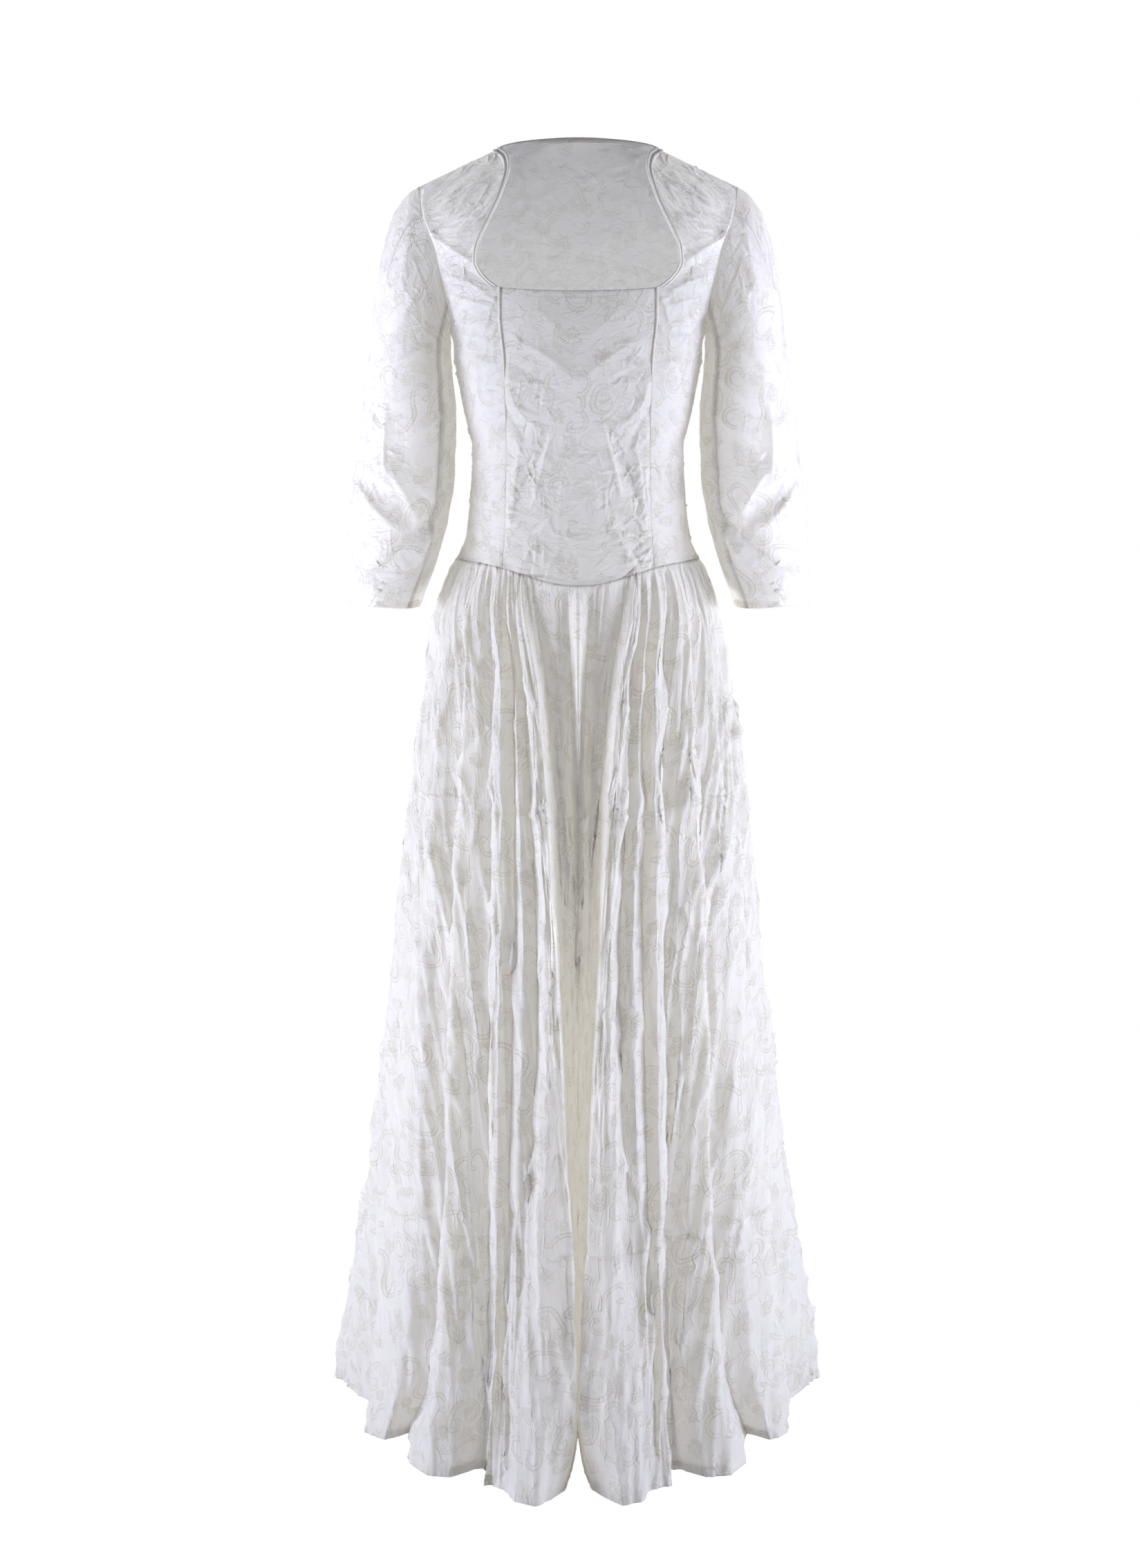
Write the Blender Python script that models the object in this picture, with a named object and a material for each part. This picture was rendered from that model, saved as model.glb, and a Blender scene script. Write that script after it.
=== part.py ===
"""A long white dress with a square neck, three-quarter sleeves and a gathered skirt, filled out as if worn.

Run with blender --background --python part.py. Metres, +Z up, the front faces -Y and the image's right is +X.
The origin lies between the shoulders at shoulder level, where the wearer holds the dress up. Tables are in
millimetres and degrees. Every piece of cloth is a thin closed wall laid through one of four surfaces: the
front of the body, the back of the body, a sleeve, and the skirt with its folds.
"""

from collections import namedtuple

import bmesh
import bpy
import numpy as np

MM = 0.001

# Cloth and seams
WALL = 1.2
BINDING_WALL = 1.8
PIPING_WALL = 1.4
SEAM_GAP = 0.3
WAIST_GAP = 0.8
BINDING_GAP = 0.6
BINDING_WIDTH = 5.0
PIPING_WIDTH = 3.5

# Levels, measured down from the shoulders
HEM_Z = -1430.0
WAIST_Z = -434.0
UNDERARM_Z = -176.0
PIPING_END_Z = -232.0
CHEST_Z = -131.0
UPPER_BACK_Z = -90.0
TOP_LEVEL = 0.0

# Shoulders and neck
NECK_HALF = 86.6
NECK_SIDE_Z = 23.5
SHOULDER_SLOPE = 0.467
RIDGE_Y = 4.0
NECK_BACK_Y = 70.0
NECK_BACK_RISE = 15.4
SHOULDER_BLADE_Y = 90.0
NECKLINE_SCOOP = 3.7
NECK_END = 0.5

# How the front curves from the chest over to the shoulder line: its slopes back and up at both ends
CHEST_LEAVE_Y, CHEST_ARRIVE_Y = 32.0, 115.0
CHEST_LEAVE_Z, CHEST_ARRIVE_Z = 145.0, 5.0

# The same for the back. It arrives steeply at the neck and flat at the shoulder line.
BACK_LEAVE_Y = 2.0
BACK_LEAVE_Z = 135.0
NECK_ARRIVE_Z, SHOULDER_ARRIVE_Z = 95.0, -5.0
SHOULDER_FROM = 10.0
BLADE_ROUNDING = 1.4
ARCH_DEPTH_ROUNDING, ARCH_RISE_ROUNDING = 0.6, 0.75

# The neck binding widens from the neckline's corner over a short height
CORNER_SHARE = 0.2
CORNER_HEIGHT = 9.0
PIPING_DROP = 4.0

# The waist seam dips below its side level at the centre front and a little at the centre back
FRONT_DIP = 22.0
BACK_DIP = 6.0
DIP_SPREAD = 30.0
DIP_FADE = 60.0

# Rings round the body and the skirt. Above the chest only half_width is used, to spread the columns.
Ring = namedtuple("Ring", "z half_width front back")
RINGS = (
    Ring(-1430, 292, 350, 300),
    Ring(-1330, 275, 322, 280),
    Ring(-1200, 252, 293, 256),
    Ring(-950, 219, 243, 212),
    Ring(-700, 190, 186, 172),
    Ring(-570, 171, 152, 148),
    Ring(-500, 163, 131, 127),
    Ring(-465, 152, 119, 111),
    Ring(-434, 138, 112, 98),
    Ring(-410, 128, 107, 89),
    Ring(-360, 122.5, 103, 82),
    Ring(-310, 120, 104, 82),
    Ring(-280, 126.7, 112, 88),
    Ring(-226, 137, 123, 99),
    Ring(-176, 143.5, 120, 106),
    Ring(-131, 162, 110, 108),
    Ring(-90, 180, 97, 106),
    Ring(-40, 198, 70, 90),
    Ring(0, 206, 40, 60),
)

# Edges of the panels, as half widths at each height
Edge = namedtuple("Edge", "z x")
PRINCESS_SEAM = (
    Edge(-455, 84),
    Edge(-307, 79.7),
    Edge(-208, 81.7),
    Edge(-162, 86.0),
    Edge(-131, 86.5),
)
NECK_EDGE = (
    Edge(-131, 86.5),
    Edge(-125.5, 94.9),
    Edge(-113.5, 106.4),
    Edge(-102, 111),
    Edge(-86.5, 109.6),
    Edge(-69, 102.5),
    Edge(-51.6, 94.1),
    Edge(-25.6, 82.9),
    Edge(3.1, 75.5),
    Edge(15.7, 78),
    Edge(23.5, 86.6),
)
FRONT_ARMHOLE = (
    Edge(-176, 143.5),
    Edge(-157, 143.8),
    Edge(-131, 148.5),
    Edge(-95, 157.5),
    Edge(-73, 163.2),
    Edge(-46, 174.0),
    Edge(-30, 176.5),
    Edge(-19, 177.5),
)
BACK_ARMHOLE = (
    Edge(-176, 143.5),
    Edge(-150, 145.5),
    Edge(-120, 151),
    Edge(-90, 158),
    Edge(-60, 166),
    Edge(-35, 173),
    Edge(-19, 177.5),
)

# A sleeve ring runs from x_in, beside the body, to x_out. Forward is how far its middle lies to the front.
SleeveRing = namedtuple("SleeveRing", "z x_in x_out forward half_depth")
SLEEVE_RINGS = (
    SleeveRing(-484, 180, 262.7, 28, 53),
    SleeveRing(-431, 160, 261.5, 21, 55),
    SleeveRing(-389, 148, 259, 16, 57),
    SleeveRing(-336, 140.5, 253.5, 10, 58),
    SleeveRing(-280, 138.5, 246, 6, 59),
    SleeveRing(-232, 142, 238, 3, 61),
    SleeveRing(-205, 144, 234.5, 2, 62),
)
CUFF_TILT = 4.0
CUFF_TILT_FROM = -400.0
SLEEVE_SEAM_FRONT = -45.0
SLEEVE_SEAM_OUTER = 52.0
SLEEVE_SEAM_HALF_GAP = 0.25
SLEEVE_AXIS = (200.0, -10.0)

# The sleeve cap: how far it stands off the armhole, and how its cloth leaves the armhole and meets the arm,
# each at the underarm and how much more at the top
STAND_OFF, UNDERARM_STAND_OFF = 0.9, 1.1
STAND_OFF_FROM, STAND_OFF_TO = 40.0, 130.0
CAP_LEAVE, CAP_LEAVE_MORE = 20.0, 115.0
CAP_ARRIVE, CAP_ARRIVE_MORE = 25.0, 130.0
CAP_OUTWARD_ROUNDING = 0.7
CAP_FORWARD = 0.35
CAP_LIFT = 0.65
CAP_ROW_SPREAD = 1.25
CAP_PROBE = 5.0

# Large drag folds of a sleeve, each a soft ridge from one place to another
SleeveFold = namedtuple("SleeveFold", "turn_a z_a turn_b z_b height width")
SLEEVE_FOLDS = (
    SleeveFold(-38, -402, 48, -474, 6.5, 15),
    SleeveFold(-20, -352, 42, -318, 5.0, 13),
    SleeveFold(8, -398, 70, -352, 5.0, 14),
    SleeveFold(30, -300, 34, -225, 3.0, 12),
    SleeveFold(150, -330, 215, -362, 5.0, 16),
    SleeveFold(120, -420, 200, -398, 4.5, 16),
    SleeveFold(160, -250, 230, -225, 3.5, 16),
)

# Folds of the skirt front, from the centre to the side seam, as lines down the cloth. A turn is the angle
# from the centre front, and an out is how far the line stands out from the ring, at five levels.
SKIRT_LEVELS = (0.0, 0.125, 0.51, 0.9, 1.0)
FoldLine = namedtuple("FoldLine", "turns outs")
FRONT_FOLDS = (
    FoldLine((0.0, 0.0, 0.0, 0.0, 0.0), (1.2, -4, -80, -160, -182)),
    FoldLine((4.2, 3.0, 1.3, 0.32, 0.9), (-1.6, -26, -70, -130, -145)),
    FoldLine((10.0, 7.3, 2.5, 0.48, 1.5), (0, -16, -58, -95, -110)),
    FoldLine((21.0, 12.8, 3.9, 0.62, 2.2), (-2, -20, -36, -60, -78)),
    FoldLine((24.8, 14.5, 5.0, 0.80, 3.3), (2, 6, 3, -6, -32)),
    FoldLine((27.2, 17.5, 8.5, 8.0, 9.0), (1.2, 4, 7, 9, 11)),
    FoldLine((29.5, 20.8, 12.7, 14.2, 13.2), (-2, -9, -10, 0, 4)),
    FoldLine((31.9, 23.0, 16.0, 16.8, 16.5), (1.6, 6, 2, -12, -18)),
    FoldLine((34.9, 26.0, 20.3, 19.2, 19.6), (-2, -9, -9, -18, -22)),
    FoldLine((37.5, 28.5, 22.8, 21.0, 22.6), (1.6, 9, 6, -10, -20)),
    FoldLine((40.0, 31.0, 25.0, 23.5, 26.2), (-1.2, 2, 0, -40, -58)),
    FoldLine((43.0, 35.5, 29.0, 26.6, 29.4), (-2, -11, -18, -40, -50)),
    FoldLine((46.4, 39.6, 33.5, 29.5, 31.5), (1.2, 3, -4, -16, -18)),
    FoldLine((50.2, 44.6, 38.8, 34.5, 36.0), (1.6, 9, 8, 2, -6)),
    FoldLine((52.5, 47.8, 41.2, 38.0, 43.0), (-1.2, -2, -4, -8, -14)),
    FoldLine((55.0, 51.5, 44.0, 42.0, 50.0), (-2, -14, -26, -42, -42)),
    FoldLine((58.2, 55.6, 47.0, 46.6, 56.5), (1.2, -5, -22, -46, -56)),
    FoldLine((61.5, 59.6, 52.0, 50.5, 55.8), (1.6, 5, -3, -18, -24)),
    FoldLine((66.0, 64.5, 61.5, 60.5, 61.0), (1.6, 9, 8, -4, -14)),
    FoldLine((70.4, 70.0, 67.0, 69.0, 75.0), (-2, -10, -12, -32, -42)),
    FoldLine((75.5, 76.0, 75.0, 76.5, 84.0), (1.6, 8, 7, -4, -18)),
    FoldLine((82.5, 83.0, 83.0, 84.0, 87.5), (-2, -8, -5, -8, -10)),
    FoldLine((90.0, 90.0, 90.0, 90.0, 90.0), (1.2, 5, 4, 4, 4)),
)

SKIRT_SEAM_HALF_GAP = 0.12

# Folds of the skirt back, made by a rule: their number, how deep they are at the five levels, and how much
# their places, their courses and their sizes differ
BACK_FOLD_COUNT = 12
BACK_RIDGE_OUTS = (1.5, 8, 10, 12, 14)
BACK_VALLEY_OUTS = (-1.5, -11, -22, -38, -50)
SIDE_SEAM_OUTS = (1.2, 5, 4, 4, 4)
BACK_PLACE_SHIFT = 0.25
BACK_SWAY = 0.9
BACK_SIZE, BACK_SIZE_CHANGE = 0.75, 0.4
BACK_PLACE_BEAT, BACK_SWAY_BEAT, BACK_LEVEL_BEAT, BACK_SIZE_BEAT = 2.1, 2.3, 1.1, 1.9
BACK_SIZE_PHASE = 0.6

# Cells of each wall
SKIRT_ROWS = (0, 0.025, 0.06, 0.105, 0.17, 0.25, 0.34, 0.44, 0.55, 0.66, 0.77, 0.86, 0.91, 0.955, 1.0)
SKIRT_BACK_ROWS = (0, 0.03, 0.075, 0.14, 0.22, 0.32, 0.43, 0.55, 0.67, 0.79, 0.9, 1.0)
COLUMNS_PER_FOLD_LINE, BACK_COLUMNS_PER_FOLD_LINE = 2, 3
CENTRE_COLUMNS, CENTRE_ROWS = 10, 14
SIDE_COLUMNS = 7
NECK_COLUMNS, SHOULDER_COLUMNS = 5, 6
SLEEVE_FRONT_COLUMNS, SLEEVE_BACK_COLUMNS = 8, 12
SIDE_LEVELS = (
    -434, -410, -385, -360, -335, -310, -285, -260, -235, -210, -190, -176, -168, -158, -145, -131,
    -128.5, -124, -118, -111, -104, -96, -88, -79, -70, -60, -50, -41, -32, -24, -16, -10, -5, 0,
)
BACK_LEVELS = (
    -434, -410, -380, -345, -310, -280, -250, -220, -195, -176, -167, -154, -136, -114, -90,
    -68, -46, -26, -10, 0,
)
CAP_ROWS, ARM_ROWS = 7, 10
PIPING_ROWS = 12
ARMHOLE_STEPS = 200
HALF_LOOP_POINTS = 181
EDGE_PASSES = 12

# Colours of the cloth and its bound edges, as linear values
VOILE_COLOUR = (0.86, 0.86, 0.88, 1.0)
BINDING_COLOUR = (0.88, 0.88, 0.89, 1.0)


def smooth(places, values, at):
    """Reads values at new places by a monotone cubic. The last axis of values follows places."""
    places, values = np.asarray(places, float), np.asarray(values, float)
    at = np.clip(at, places[0], places[-1])
    step = np.diff(places)
    rise = np.diff(values, axis=-1) / step
    before, after = rise[..., :-1], rise[..., 1:]
    same_way = before * after > 0
    near, far = 2 * step[1:] + step[:-1], step[1:] + 2 * step[:-1]
    safe_before = np.where(same_way, before, 1.0)
    safe_after = np.where(same_way, after, 1.0)
    inner = np.where(same_way, (near + far) / (near / safe_before + far / safe_after), 0.0)
    slope = np.concatenate([rise[..., :1], inner, rise[..., -1:]], axis=-1)
    span = np.clip(np.searchsorted(places, at, side="right") - 1, 0, len(places) - 2)
    width = step[span]
    t = (at - places[span]) / width
    return (
        values[..., span] * (1 + 2 * t) * (1 - t) ** 2
        + values[..., span + 1] * t * t * (3 - 2 * t)
        + slope[..., span] * width * t * (1 - t) ** 2
        + slope[..., span + 1] * width * t * t * (t - 1)
    )


def hermite(start, leave, end, arrive, t):
    """A cubic from start to end that leaves and arrives with the given slopes."""
    return (
        start * (1 + 2 * t) * (1 - t) ** 2
        + end * t * t * (3 - 2 * t)
        + leave * t * (1 - t) ** 2
        + arrive * t * t * (t - 1)
    )


def blend(low, high, value):
    """0 below low, 1 above high, and a smooth step between."""
    t = np.clip((value - low) / (high - low), 0, 1)
    return t * t * (3 - 2 * t)


def ring_size(name, z):
    """A column of RINGS read at z."""
    return smooth([r.z for r in RINGS], [getattr(r, name) for r in RINGS], z)


def edge_x(edge, z):
    """The half width of a panel's edge at z."""
    return smooth([e.z for e in edge], [e.x for e in edge], z)


def stacked(x, y, z):
    """Points from their three coordinates."""
    return np.stack(np.broadcast_arrays(x, y, z), axis=-1)


def ridge_z(x):
    """The height of the shoulder line at a half width."""
    return NECK_SIDE_Z - SHOULDER_SLOPE * (x - NECK_HALF)


def waist_dip(turn, depth):
    """How far the waist seam lies below its side level. A turn is the angle from the centre, in degrees."""
    return depth * np.exp(-((turn / DIP_SPREAD) ** 2))


def body_front(turn, level):
    """The front of the body. Up to the chest a level is a height. From there to 0 the cloth runs up over
    the chest to the shoulder line."""
    angle = np.radians(turn)
    side, ahead = np.sin(angle), np.cos(angle)
    height = np.minimum(level, CHEST_Z)
    low_y = -ring_size("front", height) * ahead
    t = np.clip((level - CHEST_Z) / (TOP_LEVEL - CHEST_Z), 0, 1)
    end_x = ring_size("half_width", TOP_LEVEL) * side
    start_y = -ring_size("front", CHEST_Z) * ahead
    high_y = hermite(start_y, CHEST_LEAVE_Y * ahead, RIDGE_Y - SEAM_GAP, CHEST_ARRIVE_Y * ahead, t)
    high_z = hermite(CHEST_Z, CHEST_LEAVE_Z, ridge_z(np.abs(end_x)), CHEST_ARRIVE_Z, t)
    above = t > 0
    return stacked(
        ring_size("half_width", level) * side,
        np.where(above, high_y, low_y),
        np.where(above, high_z, height),
    )


def neck_arch(half):
    """Depth and height of the back neck edge at a half width, and 0 depth past the neck."""
    inside = np.clip(1 - (half / NECK_HALF) ** 2, 0, 1)
    return NECK_BACK_Y * inside**ARCH_DEPTH_ROUNDING, NECK_BACK_RISE * inside**ARCH_RISE_ROUNDING


def arriving_slope(start, leave, middle, end):
    """The slope at the end of a cubic that passes through middle half way."""
    return leave - 8 * (middle - (start + end) / 2)


def body_back(turn, level):
    """The back of the body, like the front. A turn is the angle from the centre back."""
    angle = np.radians(turn)
    side, behind = np.sin(angle), np.cos(angle)
    height = np.minimum(level, UPPER_BACK_Z)
    low_y = ring_size("back", height) * behind
    t = np.clip((level - UPPER_BACK_Z) / (TOP_LEVEL - UPPER_BACK_Z), 0, 1)
    half = np.abs(ring_size("half_width", TOP_LEVEL) * side)
    arch_y, arch_rise = neck_arch(half)
    shoulder = blend(SHOULDER_FROM, NECK_HALF, half)
    end_y = np.maximum(RIDGE_Y + SEAM_GAP, arch_y)
    end_z = np.where(half < NECK_HALF, NECK_SIDE_Z + arch_rise, ridge_z(half))
    start_y = ring_size("back", UPPER_BACK_Z) * behind
    leave_y = BACK_LEAVE_Y * behind
    middle_y = SHOULDER_BLADE_Y * behind**BLADE_ROUNDING
    high_y = hermite(start_y, leave_y, end_y, arriving_slope(start_y, leave_y, middle_y, end_y), t)
    arrive_z = NECK_ARRIVE_Z + (SHOULDER_ARRIVE_Z - NECK_ARRIVE_Z) * shoulder
    high_z = hermite(UPPER_BACK_Z, BACK_LEAVE_Z, end_z, arrive_z, t)
    above = t > 0
    return stacked(
        ring_size("half_width", level) * side,
        np.where(above, high_y, low_y),
        np.where(above, high_z, height),
    )


def edge_turn(surface, edge, level, start=60.0):
    """The turn at which a surface of the body meets a panel's edge, at each level."""
    turn = np.full(np.shape(level), start)
    for _ in range(EDGE_PASSES):
        z = surface(turn, level)[..., 2]
        share = np.clip(edge_x(edge, z) / ring_size("half_width", level), -1, 1)
        turn = 0.5 * turn + 0.5 * np.degrees(np.arcsin(share))
    return turn


def dipped(level, turn, depth):
    """Lowers the levels near the waist to the seam's dip."""
    fade = np.clip((WAIST_Z + DIP_FADE - level) / DIP_FADE, 0, 1)
    return level - waist_dip(turn, depth) * fade


def side_turn(depth_name, level):
    """The turn of the side seam, held back by half the gap."""
    return 90.0 - np.degrees(SEAM_GAP / ring_size(depth_name, np.minimum(level, CHEST_Z)))


def turn_for(x, level):
    """The turn at which the ring of a level reaches a half width."""
    return np.degrees(np.arcsin(np.clip(x / ring_size("half_width", level), -1, 1)))


def armhole_turn(surface, edge, depth_name, level):
    """The outer edge of a body panel: the side seam, then the armhole."""
    at_side = side_turn(depth_name, level)
    return np.where(level <= UNDERARM_Z, at_side, np.minimum(at_side, edge_turn(surface, edge, level)))


def bodice_front_centre():
    """Front panel between the princess seams."""
    across = np.linspace(-1, 1, CENTRE_COLUMNS + 1)[None, :]
    rows = np.linspace(0, 1, CENTRE_ROWS + 1)[:, None]
    level = WAIST_Z + (CHEST_Z - WAIST_Z) * rows
    edge = edge_x(PRINCESS_SEAM, level) - SEAM_GAP
    turn = across * turn_for(edge, level)
    level = dipped(level, turn, FRONT_DIP) - NECKLINE_SCOOP * rows**6 * (1 - across**2)
    level = level + SEAM_GAP * (1 - rows)
    return body_front(turn, level)


def neckline_half(level):
    """The half width of the neckline at a level of the side front."""
    return ring_size("half_width", level) * np.sin(np.radians(edge_turn(body_front, NECK_EDGE, level, 30.0)))


def inner_turn(level, inset):
    """The turn of the side front's inner edge: the princess seam, then the neckline, moved out by inset."""
    edge = np.where(level <= CHEST_Z, edge_x(PRINCESS_SEAM, level), neckline_half(level))
    return turn_for(edge + inset, level)


def slant(level):
    """How much longer a step across the neckline is along a row, where the neckline runs aslant to it."""
    low, high = [body_front(turn_for(neckline_half(at), at), at) for at in (level - 1, level + 1)]
    run = high - low
    return np.sqrt(1 + run[..., 0] ** 2 / (run[..., 1] ** 2 + run[..., 2] ** 2))


def binding_width(level):
    """The binding's width along a row. It starts narrow at the neckline's corner."""
    widening = blend(CHEST_Z, CHEST_Z + CORNER_HEIGHT, level)
    return BINDING_WIDTH * (CORNER_SHARE + (1 - CORNER_SHARE) * widening) * slant(level)


def neck_inset(level):
    """How far the side front's inner edge keeps inside the seam or the neckline, past the binding."""
    return np.where(level <= CHEST_Z, SEAM_GAP, binding_width(level) + BINDING_GAP * slant(level))


def bodice_front_side():
    """Side front of the right half of the picture, with its shoulder strap."""
    across = np.linspace(0, 1, SIDE_COLUMNS + 1)[None, :]
    level = np.array(SIDE_LEVELS, float)[:, None]
    inner = inner_turn(level, neck_inset(level))
    outer = armhole_turn(body_front, FRONT_ARMHOLE, "front", level)
    turn = inner + (outer - inner) * across
    low_edge = SEAM_GAP * (level == WAIST_Z)
    return body_front(turn, dipped(level, turn, FRONT_DIP) + low_edge)


def neck_columns():
    """Turns of the back's columns from the centre to the end of the neck arch, closer at its steep end."""
    return turn_for(NECK_HALF, TOP_LEVEL) * np.sin(np.linspace(0, np.pi / 2, NECK_COLUMNS + 1))


def bodice_back():
    """Back in one piece. Beside the neck it stops short of the arch, to leave the binding its place."""
    level = np.array(BACK_LEVELS, float)[:, None]
    outer = armhole_turn(body_back, BACK_ARMHOLE, "back", level)
    in_neck = neck_columns()
    neck = in_neck[-1]
    past_neck = np.linspace(0, 1, SHOULDER_COLUMNS + 1)[1:]
    inner_part = np.broadcast_to(in_neck, (len(level), NECK_COLUMNS + 1))
    right = np.concatenate([inner_part, neck + (outer - neck) * past_neck], axis=1)
    turn = np.concatenate([-right[:, :0:-1], right], axis=1)
    held_back = (BINDING_WIDTH + BINDING_GAP) * (np.abs(turn) < neck - NECK_END)
    lowered = level - held_back * blend(UPPER_BACK_Z, TOP_LEVEL, level)
    low_edge = SEAM_GAP * (level == WAIST_Z)
    return body_back(turn, dipped(lowered, turn, BACK_DIP) + low_edge)


def neck_binding_side():
    """Bound edge of the right strap, on the rows of the panel beside it."""
    level = np.array([at for at in SIDE_LEVELS if at > CHEST_Z], float)[:, None]
    turns = [inner_turn(level, inset) for inset in (0.0, binding_width(level))]
    return body_front(np.concatenate(turns, axis=1), level)


def neck_binding_back():
    """Bound edge of the back neck arch, on the columns of the panel below it."""
    half = neck_columns()[:-1]
    turn = np.concatenate([-half[:0:-1], half])[None, :]
    level = np.array([-BINDING_WIDTH, TOP_LEVEL])[:, None]
    return body_back(turn, level)


def princess_piping():
    """Corded edge on the right princess seam, laid on the panels from the neckline to below the bust."""
    level = np.linspace(PIPING_END_Z, CHEST_Z - PIPING_DROP, PIPING_ROWS)[:, None]
    middle = edge_x(PRINCESS_SEAM, level)
    sides = [turn_for(middle + side * PIPING_WIDTH / 2, level) for side in (-1, 1)]
    points = body_front(np.concatenate(sides, axis=1), level)
    lift = WALL / 2 + SEAM_GAP + PIPING_WALL / 2
    return points + lift * normals(points)


def resampled(points, count):
    """Points at even steps along a polyline."""
    along = np.concatenate([[0], np.cumsum(np.linalg.norm(np.diff(points, axis=0), axis=1))])
    return np.stack([np.interp(np.linspace(0, along[-1], count), along, c) for c in points.T], axis=-1)


def armhole_loop(turns):
    """The sleeve's first ring, just outside the armhole. A turn is 0 in front, 90 outside, 180 behind."""
    fine = np.linspace(UNDERARM_Z, TOP_LEVEL, ARMHOLE_STEPS)
    front = body_front(armhole_turn(body_front, FRONT_ARMHOLE, "front", fine), fine)
    back = body_back(armhole_turn(body_back, BACK_ARMHOLE, "back", fine), fine)
    front_half = resampled(front, HALF_LOOP_POINTS)
    loop = np.concatenate([front_half, resampled(back[::-1], HALF_LOOP_POINTS)[1:]])
    loop[:, 0] += STAND_OFF + UNDERARM_STAND_OFF * blend(STAND_OFF_FROM, STAND_OFF_TO, -loop[:, 2])
    at = np.linspace(-90, 270, len(loop))
    place = (turns + 90) % 360 - 90
    return np.stack([np.interp(place, at, loop[:, axis]) for axis in range(3)], axis=-1)


def sleeve_size(name, z):
    """A column of SLEEVE_RINGS read at z."""
    return smooth([r.z for r in SLEEVE_RINGS], [getattr(r, name) for r in SLEEVE_RINGS], z)


def sleeve_ring(turns, z):
    """Points of the sleeve's rings below the cap."""
    angle = np.radians(turns)
    x_in, x_out = sleeve_size("x_in", z), sleeve_size("x_out", z)
    x = (x_in + x_out) / 2 + (x_out - x_in) / 2 * np.sin(angle)
    y = -sleeve_size("forward", z) - sleeve_size("half_depth", z) * np.cos(angle)
    tilt = CUFF_TILT * np.sin(angle) * blend(-CUFF_TILT_FROM, -SLEEVE_RINGS[0].z, -z)
    return stacked(x, y, z + tilt)


def sleeve_folds(turns, z):
    """How far the drag folds lift the sleeve at each place."""
    lift = np.zeros(np.broadcast(turns, z).shape)
    for fold in SLEEVE_FOLDS:
        run = np.array([fold.turn_b - fold.turn_a, fold.z_b - fold.z_a], float)
        round_by = (turns - fold.turn_a + 180) % 360 - 180
        up_by = z - fold.z_a
        t = np.clip((round_by * run[0] + up_by * run[1]) / (run @ run), 0, 1)
        away = np.hypot(round_by - t * run[0], up_by - t * run[1])
        lift += fold.height * np.exp(-((away / fold.width) ** 2)) * np.sin(np.pi * (0.1 + 0.8 * t))
    return lift


def sleeve(turn_from, turn_to, columns):
    """A stretch of the right sleeve between two seams, from the armhole to the cuff."""
    turns = np.linspace(turn_from, turn_to, columns + 1)[None, :]
    height = np.clip((np.sin(np.radians(turns)) + 1) / 2, 0, 1)
    start = armhole_loop(turns)
    first_z = SLEEVE_RINGS[-1].z
    end = sleeve_ring(turns, np.full(turns.shape, float(first_z)))
    below = sleeve_ring(turns, np.full(turns.shape, first_z - CAP_PROBE))
    forward = -CAP_FORWARD * np.cos(np.radians(turns))
    way = stacked(height**CAP_OUTWARD_ROUNDING, forward, -(1 - CAP_LIFT * height))
    leave = way * (CAP_LEAVE + CAP_LEAVE_MORE * height)[..., None]
    arrive = (below - end) / CAP_PROBE * (CAP_ARRIVE + CAP_ARRIVE_MORE * height)[..., None]
    t = np.linspace(0, 1, CAP_ROWS + 1)[:, None, None] ** CAP_ROW_SPREAD
    cap = hermite(start, leave, end, arrive, t)
    z = np.linspace(first_z, SLEEVE_RINGS[0].z, ARM_ROWS + 1)[1:, None]
    arm = sleeve_ring(turns, z)
    points = np.concatenate([cap, arm])
    plain_z = np.concatenate([cap[..., 2], np.broadcast_to(z, arm.shape[:2])])
    return points + sleeve_folds(turns, plain_z)[..., None] * normals(points)


def skirt(lines, columns, rows, surface_sign, dip):
    """A skirt panel through its fold lines, from side seam to side seam. The sign is -1 for the front."""
    rows = np.array(rows, float)
    turns = smooth(SKIRT_LEVELS, [line.turns for line in lines], rows)
    outs = smooth(SKIRT_LEVELS, [line.outs for line in lines], rows)
    index = np.arange(len(lines))
    at = np.linspace(0, len(lines) - 1, columns + 1)
    turn, out = smooth(index, turns.T, at), smooth(index, outs.T, at)
    top = WAIST_Z - waist_dip(turn, dip) - WAIST_GAP + SEAM_GAP
    z = top + (HEM_Z - top) * rows[:, None]
    angle = np.radians(turn)
    half = ring_size("half_width", z)
    depth = ring_size("front" if surface_sign < 0 else "back", z)
    x, y = half * np.sin(angle), surface_sign * depth * np.cos(angle)
    way = np.stack([np.sin(angle) / half, surface_sign * np.cos(angle) / depth])
    way /= np.linalg.norm(way, axis=0)
    return stacked(x + out * way[0], y + out * way[1], z)


def seam_line(line):
    """A fold line at the side seam, held back from it."""
    return FoldLine(tuple(t - np.sign(t) * SKIRT_SEAM_HALF_GAP for t in line.turns), line.outs)


def skirt_front():
    """Gathered front. The folds of one half are repeated on the other, as the picture shows them."""
    right = [*FRONT_FOLDS[:-1], seam_line(FRONT_FOLDS[-1])]
    left = [FoldLine(tuple(-t for t in line.turns), line.outs) for line in right[:0:-1]]
    lines = left + right
    return skirt(lines, (len(lines) - 1) * COLUMNS_PER_FOLD_LINE, SKIRT_ROWS, -1, FRONT_DIP)


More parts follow.
